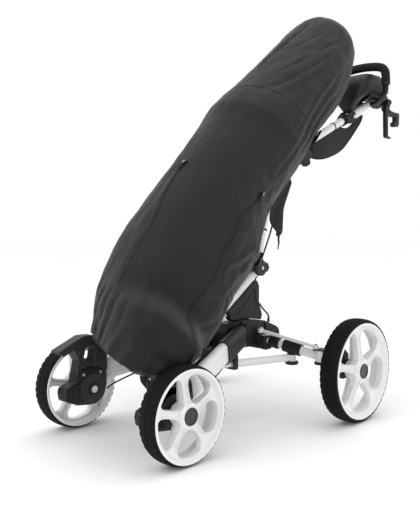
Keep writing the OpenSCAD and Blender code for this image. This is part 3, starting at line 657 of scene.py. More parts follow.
# creases: points (distance along the bag, angle), width, depth; a negative depth is a ridge
CREASE = [
    ([(1290, 172), (1230, 173), (1150, 176), (1070, 179), (1020, 184)], 11, 7.0),
    ([(1300, 108), (1260, 114), (1216, 122), (1160, 128)], 6, 3.2),
    ([(1290, 90), (1240, 99), (1185, 106), (1100, 110), (1010, 114), (930, 117)], 9, 4.2),
    ([(1300, 97), (1250, 104), (1200, 111), (1140, 117), (1050, 124), (960, 133)], 7, 2.8),
    ([(1210, 84), (1150, 87), (1051, 84), (929, 83), (851, 77), (741, 78), (660, 82)], 10, 5.0),
    ([(1130, 70), (1054, 73), (930, 69), (863, 65), (790, 66)], 9, 5.2),
    ([(1180, 96), (1090, 97), (1000, 96), (900, 92), (820, 90)], 8, 3.0),
    ([(1120, 132), (1050, 140), (980, 150)], 8, 2.2),
    ([(1000, 128), (930, 138), (870, 152)], 9, 2.2),
    ([(1250, 140), (1200, 148), (1130, 156)], 7, 2.0),
    ([(1240, 60), (1160, 55), (1060, 52), (960, 50), (860, 47)], 11, 5.0),
    ([(1180, 30), (1080, 28), (960, 33), (860, 30)], 12, 5.0),
    ([(1200, -10), (1090, -4), (980, -8), (870, 0)], 12, 4.5),
    ([(1230, -50), (1120, -44), (1000, -48), (880, -40)], 12, 4.5),
    ([(1270, -90), (1180, -82), (1060, -88), (940, -80)], 11, 4.5),
    ([(1260, -130), (1180, -122), (1070, -127), (960, -120)], 10, 4.0),
    ([(60, 105), (40, 124), (25, 119), (12, 104), (8, 84)], 7, 4.5),
    ([(150, 142), (90, 136), (50, 130), (22, 120), (6, 100)], 8, 5.0),
    ([(445, 50), (420, 70), (352, 79), (305, 88)], 10, -5.0),
    ([(395, 52), (375, 66), (332, 72), (268, 90)], 9, 5.0),
    ([(300, 42), (285, 60), (240, 72), (211, 87), (178, 97)], 10, 6.0),
    ([(480, 60), (455, 74), (430, 84), (400, 92)], 9, 3.5),
    ([(540, 58), (520, 68), (500, 76), (470, 84)], 9, 3.0),
    ([(215, 40), (190, 58), (150, 70), (110, 84)], 10, 5.0),
    ([(120, 30), (95, 52), (56, 70), (34, 82)], 8, 5.0),
    ([(250, 66), (225, 60), (200, 48)], 8, -3.0),
    ([(640, 70), (600, 76), (560, 80)], 9, 3.0),
    ([(620, 58), (575, 60), (530, 60), (480, 56)], 10, 4.0),
    ([(700, 190), (600, 186), (480, 188), (360, 186), (250, 190)], 16, 2.5),
    ([(560, 215), (430, 220), (300, 222), (180, 226)], 16, 4.0),
    ([(820, 232), (700, 236), (560, 240), (430, 238)], 16, 4.5),
    ([(900, 262), (760, 268), (620, 266), (480, 272)], 16, 5.0),
    ([(640, 300), (500, 296), (380, 300), (240, 296)], 16, 5.5),
    ([(420, 330), (330, 326), (230, 332), (120, 326)], 14, 5.5),
    ([(760, 330), (650, 334), (560, 330)], 14, 4.5),
    ([(360, 8), (270, 12), (180, 8), (90, 12)], 14, 6.0),
    ([(130, 200), (80, 206), (30, 210)], 8, 4.0),
    ([(120, 218), (70, 222), (20, 226)], 8, 4.0),
    ([(110, 186), (60, 190), (15, 194)], 8, 3.5),
    ([(100, 172), (50, 174), (10, 178)], 7, 3.5),
    ([(90, 160), (45, 160), (8, 162)], 7, 3.0),
    ([(80, 148), (40, 146), (5, 146)], 6, 3.0),
    ([(150, 240), (90, 246), (30, 250)], 10, 4.5),
    ([(130, 268), (80, 272), (25, 276)], 10, 4.5),
    ([(140, 300), (80, 304), (25, 302)], 10, 4.5),
    ([(120, 340), (70, 344), (20, 340)], 10, 4.0),
]
NS, NT = 300, 288
_sv = -12 + 1413 * (np.linspace(0, 1, NS) - 0.006 * np.sin(np.linspace(0, 2 * math.pi, NS)))
NB = 10
_sv = np.concatenate([np.linspace(-22, -13, NB), np.linspace(-12, 1370, NS - 26 - NB), np.linspace(1372.5, 1401, 26)])
_tv = np.arange(NT) * 360.0 / NT
_rr = np.interp(_sv, _dense, _r)
_cc = np.interp(_sv, _dense, _c)
_rr[-26:] = np.interp(_sv[-26:], [1370, 1378, 1386, 1392, 1396, 1399, 1401], [float(np.interp(1370, _dense, _r)), 99, 84, 68, 50, 30, 4])
SG, TG = np.meshgrid(_sv, np.radians(_tv), indexing="ij")
RG = _rr[:, None] + 0 * TG
disp = np.zeros_like(SG)


def seg_dist(S, U, P, r, T, wrap):
    """Distance in mm from each grid point to a line of (s, angle) points, and the share of the way along it."""
    best = np.full(S.shape, 1e9)
    share = np.zeros(S.shape)
    P = [(p[0], math.radians(p[1])) for p in P]
    tot = len(P) - 1
    for i in range(tot):
        s0, a0 = P[i]
        s1, a1 = P[i + 1]
        dt = (T - a0 + math.pi) % (2 * math.pi) - math.pi
        u = dt * r
        v = S - s0
        du, dv = (a1 - a0) * r, s1 - s0
        L = du * du + dv * dv + 1e-9
        t = np.clip((u * du + v * dv) / L, 0, 1)
        d = np.hypot(u - t * du, v - t * dv)
        m = d < best
        best[m] = d[m]
        share[m] = ((i + t) / tot)[m]
    return best, share


for pts, w, depth in CREASE:
    d, sh = seg_dist(SG, None, [tuple(q) for q in [(p[0], p[1]) for p in pts]], RG, TG, True)
    taper = np.sin(np.pi * np.clip(sh * 0.92 + 0.04, 0, 1)) ** 0.6
    disp += taper * depth * (-np.exp(-(d / w) ** 2) + 0.34 * np.exp(-((d - 2.1 * w) / (1.5 * w)) ** 2))
_nz = np.zeros_like(SG)
for i in range(0, NS):
    for j in range(0, NT):
        t = TG[i, j]
        p = Vector((RG[i, j] * math.cos(t) / 60.0, RG[i, j] * math.sin(t) / 60.0, SG[i, j] / 150.0))
        n1 = noise.noise(p)
        n2 = noise.noise(p * 2.7 + Vector((7, 3, 1)))
        n3 = noise.noise(p * 6.5 + Vector((1, 9, 4)))
        _nz[i, j] = 4.0 * n1 + 2.0 * n2 + 0.6 * (1 - 2 * abs(n3))
smoothface = np.exp(-(((np.degrees(TG) - 140) / 34) ** 2)) * smooth01((SG - 120) / 80) * (1 - smooth01((SG - 900) / 120))
disp += _nz * (1 - 0.72 * smoothface)
# gathers at the hem
hem = np.exp(-((SG + 12) / 34) ** 2)
disp += hem * (2.6 * np.sin(TG * 31 + 1.5 * np.sin(TG * 4)) + 1.4 * np.sin(TG * 17 + 2))
disp *= smooth01((1401 - SG) / 50)
RD = RG + disp
# the hem is drawn in under the bag, and stays wide where the rest rod passes
SGEO = SG.copy()
# on the right-hand side the skirt hangs lower and is pulled over the wing of the front bracket
_td = np.degrees(TG[0])
_hs = np.interp(_td, [0, 56, 68, 80, 89, 97, 106, 116, 124, 138, 150, 162, 180, 200, 216, 360], [-12, -12, -12, -14, -34, -54, -70, -92, -97, -86, -72, -54, -34, -22, -12, -12])
_hr = np.interp(_td, [0, 56, 68, 80, 89, 97, 106, 116, 124, 138, 150, 162, 180, 200, 216, 360], [0, 0, 30, 66, 78, 79, 84, 96, 100, 74, 50, 26, 14, 8, 0, 0])
for q_ in range(6):
    _hs = (np.roll(_hs, 2) + 2 * _hs + np.roll(_hs, -2)) / 4
    _hr = (np.roll(_hr, 2) + 2 * _hr + np.roll(_hr, -2)) / 4
_u = np.clip((130 - SG) / 142, 0, 1)
SGEO = np.where(SG < 130, 130 - _u * (130 - _hs[None, :]), SG)
RD = RD + _hr[None, :] * smooth01((130 - SGEO) / 95)
_wd = np.degrees(np.abs((TG[0] + math.pi) % (2 * math.pi) - math.pi))
_rin = 99 - 47 * smooth01((_wd - 50) / 50) + 2.5 * np.sin(TG[0] * 29) + 1.5 * np.sin(TG[0] * 13 + 1)
for k_ in range(NB):
    f_ = (NB - k_) / NB
    _rk = np.maximum(_rin, RD[NB] - 16 - 90 * (1 - smooth01(_hr / 20)))
    RD[k_] = RD[NB] * (1 - f_) + _rk * f_ + math.sin(f_ * math.pi) * (1.6 * np.sin(TG[0] * 29) + 2.0)
    SGEO[k_] = _hs + 7.0 * f_ * f_ - 2.0 * math.sin(f_ * math.pi)
XL = RD * np.sin(TG)
YL = RD * np.cos(TG) + _cc[:, None]


def bag_array(x, c, s):
    return np.stack([x, -284 + c * CA + s * SA + YO, 243 - c * SA + s * CA], -1) / 1000.0


PG = bag_array(XL, YL, SGEO)
_ds = np.gradient(PG, axis=0)
_dt = np.roll(PG, -1, 1) - np.roll(PG, 1, 1)
NG = np.cross(_dt, _ds)
NG /= np.linalg.norm(NG, axis=-1, keepdims=True) + 1e-12
_out = PG - bag_array(0 * XL, _cc[:, None] + 0 * YL, SGEO + (SG < -12) * 30)
if (NG * _out).sum() < 0:
    NG = -NG


def on_cover(s, deg, off=0.0):
    """Point on the cover's outer face and its outward direction, off mm out."""
    fi = float(np.interp(s, _sv, np.arange(NS)))
    i0 = min(NS - 2, int(fi))
    a = fi - i0
    fj = (deg % 360) / 360.0 * NT
    j0 = int(fj) % NT
    b = fj - int(fj)
    j1 = (j0 + 1) % NT
    mix = lambda G: (G[i0, j0] * (1 - a) * (1 - b) + G[i0 + 1, j0] * a * (1 - b) + G[i0, j1] * (1 - a) * b + G[i0 + 1, j1] * a * b)
    n = mix(NG)
    n = n / np.linalg.norm(n)
    return Vector(mix(PG) + n * off / 1000.0), Vector(n)


cover_in = PG - NG * 0.0016
vs = np.concatenate([PG.reshape(-1, 3), cover_in.reshape(-1, 3)])
m = NS * NT
ii, jj = np.meshgrid(np.arange(NS - 1), np.arange(NT), indexing="ij")
j2 = (jj + 1) % NT
q = np.stack([ii * NT + jj, ii * NT + j2, (ii + 1) * NT + j2, (ii + 1) * NT + jj], -1).reshape(-1, 4)
fs = q.tolist() + (q[:, ::-1] + m).tolist()
fs += [[j, m + j, m + (j + 1) % NT, (j + 1) % NT] for j in range(NT)]
fs += [[(NS - 1) * NT + j for j in range(NT)], [m + (NS - 1) * NT + j for j in range(NT)][::-1]]
me = bpy.data.meshes.new("rain_cover_cloth")
me.from_pydata(vs.tolist(), [], fs)
me.validate()
bm = bmesh.new()
bm.from_mesh(me)
bmesh.ops.recalc_face_normals(bm, faces=bm.faces)
bm.to_mesh(me)
bm.free()
cover = link("rain_cover_cloth", me, "cover", sharp=75)
put(cover, "bag", "cover_cloth", "rain_cover")


def path_on_cover(pts, step=2.0, m=24):
    """Smooth line of (s, angle) points, evenly spaced in mm."""
    P = crom([(p[0], p[1], 0) for p in pts], m)
    pos = [on_cover(p.x, p.y)[0] for p in P]
    L = [0.0]
    for a, b in zip(pos, pos[1:]):
        L.append(L[-1] + (b - a).length * 1000)
    n = max(2, int(L[-1] / step))
    t = np.linspace(0, L[-1], n + 1)
    return np.stack([np.interp(t, L, [p.x for p in P]), np.interp(t, L, [p.y for p in P])], -1), L[-1]


def ribbon(name, SA_, half, height, mat, under=0.6, cols=7, teeth=0, sharp=45, offset=0.0):
    """A crowned band that follows a line on the cover; offset moves it sideways."""
    vs, fs = [], []
    n = len(SA_)
    for i in range(n):
        s, a = SA_[i]
        i0, i1 = max(0, i - 2), min(n - 1, i + 2)
        r = float(np.interp(s, _sv, _rr))
        d = np.array([SA_[i1][0] - SA_[i0][0], math.radians(SA_[i1][1] - SA_[i0][1]) * r])
        d /= np.linalg.norm(d) + 1e-9
        e = 1.0 if 3 < i < n - 4 else (0.3 + 0.175 * min(i, n - 1 - i))
        hh = height * (1.0 if not teeth or (i // teeth) % 2 else 0.62)
        for j in range(cols):
            u = (2 * j / (cols - 1) - 1) * half * min(1.0, e) + offset
            q = (2 * j / (cols - 1) - 1)
            p, nr = on_cover(s - d[1] * u, a + math.degrees(d[0] * u / r), hh * (1 - abs(q) ** 3) + 0.15)
            vs.append(p)
        for j in range(cols - 1, -1, -1):
            u = (2 * j / (cols - 1) - 1) * half * min(1.0, e) + offset
            p, nr = on_cover(s - d[1] * u, a + math.degrees(d[0] * u / r), -under)
            vs.append(p)
    k = 2 * cols
    for i in range(n - 1):
        for j in range(k):
            fs.append([i * k + j, i * k + (j + 1) % k, (i + 1) * k + (j + 1) % k, (i + 1) * k + j])
    fs.append(list(range(k))[::-1])
    fs.append([(n - 1) * k + j for j in range(k)])
    return mesh(name, vs, fs, mat, sharp=sharp)


def stitches(name, SA_, offset, mat="thread", pitch=3.4, length=2.3, width=0.75, height=0.5):
    vs, fs = [], []
    n = len(SA_)
    tot = 2.0 * (n - 1)
    k = int(tot / pitch)
    for q in range(k):
        t0 = (q + 0.2) * pitch / 2.0
        t1 = t0 + length / 2.0
        row = []
        for t in (t0, (t0 + t1) / 2, t1):
            i = min(n - 2, int(t))
            f = t - i
            s = SA_[i][0] * (1 - f) + SA_[i + 1][0] * f
            a = SA_[i][1] * (1 - f) + SA_[i + 1][1] * f
            r = float(np.interp(s, _sv, _rr))
            d = np.array([SA_[i + 1][0] - SA_[i][0], math.radians(SA_[i + 1][1] - SA_[i][1]) * r])
            d /= np.linalg.norm(d) + 1e-9
            row.append((s, a, r, d))
        b = len(vs)
        for idx, (s, a, r, d) in enumerate(row):
            h = height if idx == 1 else 0.1
            for u, hh in ((-width / 2, 0.0), (0, h), (width / 2, 0.0)):
                uu = u + offset
                vs.append(on_cover(s - d[1] * uu, a + math.degrees(d[0] * uu / r), 1.0 + hh)[0])
            vs.append(on_cover(s - d[1] * offset, a + math.degrees(d[0] * offset / r), 0.3)[0])
        for i in range(2):
            o = b + 4 * i
            fs += [[o, o + 1, o + 5, o + 4], [o + 1, o + 2, o + 6, o + 5], [o + 2, o + 3, o + 7, o + 6], [o + 3, o, o + 4, o + 7]]
        fs += [[b, b + 3, b + 2, b + 1], [b + 8, b + 9, b + 10, b + 11]]
    return mesh(name, vs, fs, mat, sharp=60, fix=False)


ZIPS = {"a": [(530, 175.5), (496, 180), (440, 177.5), (384, 174.5), (300, 169), (215, 169.5), (148, 169.7), (108, 170)],
        "b": [(569, 86.4), (541, 88), (495, 96), (449, 103), (406, 101), (360, 100), (319, 100), (293, 97.5), (248, 95.5), (210, 98), (172, 101), (132, 101.5), (79, 96), (40, 89), (10, 83)]}
for z, pts in ZIPS.items():
    SAz, L = path_on_cover(pts, 2.0)
    tape = ribbon(f"cover_zip_{z}_tape", SAz, 10.5, 1.0, "zipm", cols=7)
    st = [stitches(f"cover_zip_{z}_st{i}", SAz, o) for i, o in enumerate((-8.2, 8.2))]
    SAf, L = path_on_cover(pts, 1.1)
    coil = ribbon(f"cover_zip_{z}_coil", SAf, 5.2, 2.8, "zipm", cols=7, teeth=2, sharp=30)
    # slider and pull tab at the top
    s0, a0 = SAf[6]
    s1, a1 = SAf[22]
    p0, n0 = on_cover(s0, a0, 2.0)
    p1, n1 = on_cover(s1, a1, 2.0)
    d = (p1 - p0).normalized()
    sd = n0.cross(d).normalized()

    def block(nm, c, L_, W_, H_, bev):
        vs = []
        for sx in (-1, 1):
            for sy, wy in ((-1, 0.75), (1, 1.0)):
                for sz in (-1, 1):
                    vs.append(c + d * (sx * L_ / 2000) + sd * (sy * W_ / 2000) * (0.8 if sx < 0 else 1.0) + n0 * (sz * H_ / 2000))
        fs = [[0, 1, 3, 2], [4, 6, 7, 5], [0, 4, 5, 1], [2, 3, 7, 6], [0, 2, 6, 4], [1, 5, 7, 3]]
        return bevelled(mesh(nm, vs, fs, "zipm"), bev, 3)
    slider = block(f"cover_zip_{z}_slider", p0 + n0 * 0.0016, 15, 12, 5.5, 1.6)
    loop = sweep(f"cover_zip_{z}_loop", crom([p0 + n0 * 0.003 - d * 0.004, p0 + n0 * 0.0068, p0 + n0 * 0.0068 + d * 0.006, p0 + n0 * 0.004 + d * 0.009], 5), 0.0011, "steel", n=10)
    tab = block(f"cover_zip_{z}_tab", p0 + n0 * 0.0052 + d * 0.019, 24, 9.5, 2.6, 1.0)
    zo = merge(f"cover_zip_{z}", [tape] + st + [coil, slider, loop, tab])
    put(zo, "bag", "cover_cloth")

# dark gathered binding along the hood's top edge
SAh, L = path_on_cover([(1296, 171), (1240, 172.5), (1186, 175), (1106, 177.5), (1040, 180), (1010, 185)], 2.0)
bind = ribbon("cover_hood_binding", SAh, 9.0, 3.0, "bind", cols=9)
put(bind, "bag", "cover_cloth")
# seam between the hood and the body of the cover, and the rolled elastic hem
SAs, L = path_on_cover([(880 + 16 * math.sin(rad(a * 1.0)), a) for a in range(0, 361, 15)], 2.5, m=6)
seam = merge("cover_hood_seam", [ribbon("seam_r", SAs, 3.6, 0.9, "cover", cols=5), stitches("seam_s", SAs, 2.2)])
put(seam, "bag", "cover_cloth")
hp = []
for i in range(240):
    a = 360.0 * i / 240
    p, n = on_cover(-22, a, 0)
    hp.append(p)
hemo = sweep("cover_hem", hp, 0.0042, "bind", n=10, closed=True, prof=lambda a, s: 1.0 + 0.16 * math.sin(s * 2 * math.pi * 60))
put(hemo, "bag", "cover_cloth")

# ------------------------------------------------------------------ frame, hub, arms
def cad(node, mat):
    me = N[node].data
    for i in range(max(1, len(me.materials))):
        if i < len(me.materials):
            me.materials[i] = M[mat]
        else:
            me.materials.append(M[mat])
    for i, sl in enumerate(N[node].material_slots):
        sl.material = M[mat]


def soft_part(node, body, slot, mat, width=1.6, segs=3, angle=28, extra=()):
    o = soften(node, mat, width, segs, angle)
    if extra:
        rep = list(o.get("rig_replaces", []))
        o = merge(node + "_v", [o] + list(extra))
    return put(o, body, slot)


def rib(name, p, q, r, mat, flat=1.0, n=10):
    """A raised rounded bead from p to q."""
    P = [Vector(p) + (Vector(q) - Vector(p)) * t for t in (0, 0.02, 0.06, 0.5, 0.94, 0.98, 1.0)]
    return sweep(name, P, lambda s: r * (0.35 if s in (0, 1) else (0.8 if (s < 0.2 or s > 0.8) else 1)), mat, n=n)


def mm(v):
    return v / 1000.0


# hub with its long ribs, seams and screws
A0, A1, A2 = V(40, 119, 247.6), V(92, -17.5, 217.7), V(178.5, -245, 168.3)
extra = []
for z0, z1 in ((222, 222), (236, 236), (250, 250)):
    for sx in (-1, 1):
        extra.append(rib("hr", V(sx * 24.2, 264, z0 + 4), V(sx * 24.2, 318, z1 - 4), 0.0016, "black"))
for sx in (-1, 1):
    extra.append(screw("hs", V(sx * 24.0, 300, 228), (sx, 0, 0), mm(4.2)))
    extra.append(screw("hs", V(sx * 30.0, 84, 264), (sx, 0, 0), mm(4.2)))
    extra.append(screw("hs", V(sx * 30.0, 84, 224), (sx, 0, 0), mm(4.2)))
extra.append(rib("seam", V(0, 66, 290.6), V(0, 200, 292.3), 0.0012, "black"))
soft_part("hub_housing", "frame", "black_plastic", "black", 3.0, 3, extra=extra)

# sockets of the front arms, ribbed along their length
extra = []
for sx in (-1, 1):
    d = (A1 - A0).normalized()
    side_ = Vector((0, 0, 1)).cross(d).normalized()
    up_ = d.cross(side_).normalized()
    if up_.z < 0:
        up_ = -up_
    for face in (-1, 1):
        for h in (-18, -9, 0, 9, 18):
            a = A0 + d * 0.012 + side_ * face * mm(19.45) + up_ * mm(h)
            b = A1 - d * 0.012 + side_ * face * mm(19.45) + up_ * mm(h)
            if sx < 0:
                a, b = Vector((-a.x, a.y, a.z)), Vector((-b.x, b.y, b.z))
            if face > 0 or True:
                extra.append(rib("sr", a, b, 0.0015, "black"))
soft_part("arm_sockets", "frame", "black_plastic", "black", 2.4, 3, extra=extra)
extra = [rib("gr", V(sx * 9.0, 140, 306), V(sx * 9.0, 226, 388), 0.0022, "black") for sx in (-1, 1)]
extra += [rib("gr", V(sx * 9.0, 232, 330), V(sx * 9.0, 226, 384), 0.0022, "black") for sx in (-1, 1)]
extra += [screw("gs", V(sx * 9.0, 216, 318), (sx, 0, 0), mm(4)) for sx in (-1, 1)]
soft_part("hub_gusset", "frame", "black_plastic", "black", 2.2, 3, extra=extra)

# tubes
tube = sweep("lower_main_tube_v", [V(0, 28, 296.6), V(0, 34, 300.8), V(0, 137, 373.1), V(0, 232, 440)], 0.014, "white", n=40)
put(tube, "frame", "white_metal", "lower_main_tube")
UP = [(0, 245, 468), (0, 247, 475), (0, 266, 556), (0, 285, 636), (0, 290.5, 660), (0, 301, 686), (0, 313, 703), (0, 330, 717), (0, 360, 742.6), (0, 435, 806.5), (0, 520, 879), (0, 545, 898.5), (0, 572, 913.5), (0, 606, 929), (0, 680, 963), (0, 752, 996.4)]
tube = sweep("upper_main_tube_v", crom([V(*p) for p in UP], 8), 0.014, "white", n=40)
put(tube, "frame", "white_metal", "upper_main_tube")

# folding joint with its screw, ribs and knob
extra = []
for sx in (-1, 1):
    prof = [(24.0, 0.01), (25.4, 0.01), (25.6, 9), (25.0, 10), (25.0, 15), (26.2, 16), (26.2, 19.5), (25.4, 21.5), (24, 22)]
    extra.append(lathe("fj", [(p[0] - 24.0, p[1]) for p in prof], V(sx * 24.0, 240, 455), (sx, 0, 0), "grey", n=48, closed=False))
    extra.append(rib("fr", V(sx * 15.0, 176, 455), V(sx * 15.0, 214, 456), 0.0018, "grey"))
    extra.append(rib("fr", V(sx * 15.0, 188, 468), V(sx * 15.0, 216, 472), 0.0018, "grey"))
soft_part("fold_joint_housing", "frame", "grey_plastic", "grey", 2.6, 3, extra=extra)


def knob(name, centre, axis, r, h, mat, lobes=8, stem=None):
    ax = Vector(axis).normalized()
    u = Vector((1, 0, 0)) - ax * ax.x
    u.normalize()
    w = ax.cross(u)
    prof = [(0, 0.01), (0, 0.62), (0.06, 0.86), (0.16, 0.97), (0.3, 1.0), (0.55, 1.0), (0.7, 0.96), (0.82, 0.86), (0.92, 0.7), (0.97, 0.5), (0.955, 0.42), (0.93, 0.3), (0.93, 0.01)]
    n = lobes * 10
    vs, fs = [], []
    for i in range(n):
        a = 2 * math.pi * i / n
        g = 0.5 + 0.5 * math.cos(a * lobes)
        for x, q in prof:
            rr = r * q * (1 - (0.10 * (1 - g) ** 1.5 if q > 0.6 else 0))
            vs.append(centre + ax * mm(h * x) + (u * math.cos(a) + w * math.sin(a)) * mm(rr))
    k = len(prof)
    for i in range(n):
        for j in range(k - 1):
            fs.append([i * k + j, i * k + j + 1, ((i + 1) % n) * k + j + 1, ((i + 1) % n) * k + j])
    o = mesh(name, vs, fs, mat, sharp=40)
    parts = [o]
    if stem:
        parts.append(lathe(name + "_s", [(stem[0], 0.01), (stem[0], stem[1]), (1, stem[1]), (1, 0.01)], centre, ax, mat, n=32, closed=False))
    return merge(name, parts)


put(knob("fold_lock_knob_v", V(0, 273, 455), (0, 1, 0), 18, 20, "black", 7, stem=(-6.8, 8)), "fold_lock_knob", "black_plastic", "fold_lock_knob")
ka = (V(0, 506, 827) - V(0, 486, 850)).normalized()
put(knob("cradle_knob_v", V(0, 486, 850) + ka * mm(33), ka, 17, 20, "black", 6, stem=(-16.8, 4.98)), "cradle_knob", "black_plastic", "cradle_knob")

soft_part("lower_bag_cradle", "frame", "black_plastic", "black", 2.2, 3)
soft_part("upper_bag_cradle", "frame", "black_plastic", "black", 2.2, 3)
BR = [V(0, 74, 219.6), V(0, 66, 216), V(0, -6, 183.4), V(0, -68, 155), V(0, -92, 147.6), V(0, -150, 139), V(0, -192, 131), V(0, -212, 133), V(0, -226, 146), V(0, -240, 163), V(0, -241, 176), V(0, -230, 188), V(0, -214, 207.6)]
rest = sweep("br", crom(BR, 6), 0.0118, "black", n=28)
cr = []
for x, c in ((-45, 30), (45, 30), (45, 96), (-45, 96)):
    cr.append((x, c))
vs = [B(x, c, 20.2) for x, c in cr] + [B(x, c, 26) for x, c in cr]
plate = bevelled(mesh("bp", vs, [[3, 2, 1, 0], [4, 5, 6, 7], [0, 1, 5, 4], [1, 2, 6, 5], [2, 3, 7, 6], [3, 0, 4, 7]], "black"), 2.2, 3)
ribs = [rib("bq", B(x, 36, 26), B(x, 90, 26), 0.0007, "black") for x in (-33, -22, -11, 0, 11, 22, 33)]
put(merge("bag_rest_v", [rest, plate] + ribs), "frame", "black_plastic", "bag_rest")

# handle clamp, front arms, brackets
extra = []
for sx in (-1, 1):
    extra.append(screw("cs", V(sx * 24.0, 772, 1000), (sx, 0, 0), mm(5)))
    extra.append(lathe("cw", [(0, 0.01), (1.6, 0.01), (1.8, 8), (1.2, 9.6), (0, 10)], V(sx * 24.0, 788, 1012), (sx, 0, 0), "black", n=36, closed=False))
soft_part("handle_clamp", "frame", "black_plastic", "black", 2.4, 3, extra=extra)
for s in ("left", "right"):
    soft_part(f"front_arm_{s}", "frame", "white_metal", "white", 0.6, 2)

br = soften("front_bracket_right", "grey", 2.4, 3)
bx = []
# brake drum shell under the column, its axle nut, ribs and screws, and a rolled edge on the wing
W0 = lambda pts: [(-308.7 + y, 125 + z) for y, z in pts]
bx.append(prism("bb", 147.4, 192.0, W0([(-66, 20), (-88, 12), (-92, -2), (-88, -24), (-66, -33), (-24, -38), (14, -33), (34, -20), (42, -2), (38, 18), (20, 26), (-20, 30)]), "black", 4.5))
bx.append(prism("bb2", 149.0, 190.0, W0([(-56, 22), (-52, 48), (-40, 60), (-8, 66), (30, 58), (46, 46), (44, 18)]), "black", 4.0))
bx.append(lathe("bd", [(0, 0.01), (2.2, 0.01), (3.4, 6), (3.0, 10), (1.6, 11.4), (1.6, 17), (0, 19)], V(146.6, -308.7, 125), (-1, 0, 0), "black", n=48, closed=False))
for i in range(7):
    bx.append(rib("br_", V(146.2, -308.7 - 80 + 18 * i, 125 - 26 - 4 * math.sin(i / 6 * math.pi)), V(146.2, -308.7 - 80 + 18 * i, 125 + 8), 0.0014, "black", n=8))
for (y, z), (y2, z2) in (((-362, 172), (-366, 205)), ((-263, 172), (-264, 235)), ((-366, 205), (-352, 240))):
    bx.append(rib("bl", V(152.0, y + 6, z), V(152.0, y2 + 6, z2), 0.0022, "grey"))
bx.append(sweep("arch", crom([V(151.6, y, z) for y, z in W0([(-30, 92), (-26, 108), (-21, 121), (-6, 125), (6, 125.4), (14, 119), (16, 108), (12, 90), (8, 74), (-6, 72), (-22, 80)])], 6), 0.0022, "grey", n=10, closed=True))
bx.append(screw("bs", V(148.8, -308.7 - 44, 125 + 50), (-1, 0, 0), mm(5)))
edge = [V(152.4, -308.7 + y, 125 + z) for y, z in ((-106, 118), (-66, 136.0), (-28, 151.4), (-8, 151.6), (10, 150.6), (42, 137.5))]
bx.append(sweep("bedge", crom(edge, 8), 0.0024, "grey", n=12))
br = merge("front_bracket_right_v", [br] + bx)
bl = mirrored(br, "front_bracket_left_v")
br["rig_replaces"] = []
put(br, "frame", "grey_plastic", "front_bracket_right")
put(bl, "frame", "grey_plastic", "front_bracket_left")
cad("front_axles", "steel")
cad("frame_pivot_pins", "steel")
cad("bracket_screws", "steel")
for s in ("left", "right"):
    cad(f"rear_axle_{s}", "steel")

# swing arms, links, stays and rear brackets
P1, Q1 = V(45, 234, 224), V(230, 279, 187)
C1, G2 = V(135, 256, 174), V(46.6, -17, 174)
for s, sx in (("right", 1), ("left", -1)):
    PA, QA = Vector((P1.x * sx, P1.y, P1.z)), Vector((Q1.x * sx, Q1.y, Q1.z))
    da = (QA - PA).normalized()
    ex = [lathe("as", [(-0.01, 14.6), (0, 17.6), (2, 19.0), (30, 19.0), (34, 18.2), (36, 17.0), (36.2, 14.6)], PA + da * mm(17), da, "black", n=56),
          lathe("ac", [(0, 0.01), (0, 16), (1, 18.2), (4, 19.0), (32, 19.0), (34.2, 18.2), (35, 16.6), (35.2, 0.01)], V(sx * 45, 234, 203.8), (0, 0, 1), "black", n=56, closed=False)]
    soft_part(f"rear_arm_{s}", f"rear_arm_{s}", "white_metal", "white", 1.2, 3, extra=ex)
    ex = []
    for t in (0.375, 0.42, 0.59, 0.635):
        c = P1 + (Q1 - P1) * t
        d = (Q1 - P1).normalized()
        c = Vector((c.x * sx, c.y, c.z))
        d = Vector((d.x * sx, d.y, d.z))
        ex.append(lathe("cl", [(-2.2, 18.6), (-1.6, 19.9), (-0.8, 20.4), (0.8, 20.4), (1.6, 19.9), (2.2, 18.6)], c, d, "black", n=56))
    ex.append(screw("cx", V(sx * 135, 256, 151.8), (0, 0, -1), mm(7), "black"))
    ex.append(lathe("cu", [(0, 0.01), (0, 17), (1.4, 20), (4, 21.6), (8, 21.6), (10.4, 20), (10.8, 17), (10.8, 0.01)], V(sx * 135, 256, 152.0), (0, 0, 1), "black", n=56, closed=False))
    soft_part(f"arm_collar_{s}", f"rear_arm_{s}", "black_plastic", "black", 1.8, 3, extra=ex)
    soft_part(f"rear_link_{s}", f"rear_link_{s}", "white_metal", "white", 0.8, 2)
    CA_, GA_ = Vector((C1.x * sx, C1.y, C1.z)), Vector((G2.x * sx, G2.y, G2.z))
    dr = (GA_ - CA_).normalized()
    sleeve = sweep("sr", [CA_ + dr * mm(v) for v in (13, 14.5, 17, 60, 120, 180, 218, 221, 222)], lambda q: mm(11.8) if 0.02 < q < 0.985 else mm(9.2), "white", n=40)
    soft_part(f"stay_rod_{s}", f"stay_rod_{s}", "white_metal", "white", 1.6, 3, extra=[sleeve])
    ex = []
    for y in (274, 286, 298, 310, 322):
        ex.append(rib("rb", V(sx * 255.9, y, 150 if y < 320 else 160), V(sx * 255.9, y, 204 if y < 300 else 192), 0.0015, "black"))
    ex.append(screw("rs", V(sx * 230, 279, 161.8), (0, 0, -1), mm(7)))
    ex.append(lathe("rd", [(0, 25), (0, 34), (2.4, 34), (3.2, 32.5), (3.2, 26.5), (2.4, 25)], V(sx * 292, 308.7, 156), (sx, 0, 0), "black", n=64))
    soft_part(f"rear_bracket_{s}", f"rear_bracket_{s}", "black_plastic", "black", 2.4, 3, extra=ex)


# ------------------------------------------------------------------ brake cables
def cable_piece(name, pts, r, node, body="frame", m=10):
    P = crom([V(*p) for p in pts], m)
    o = sweep(name, P, r / 1000.0, "cable", n=14)
    put(o, body, "cable", node)
    return o, P


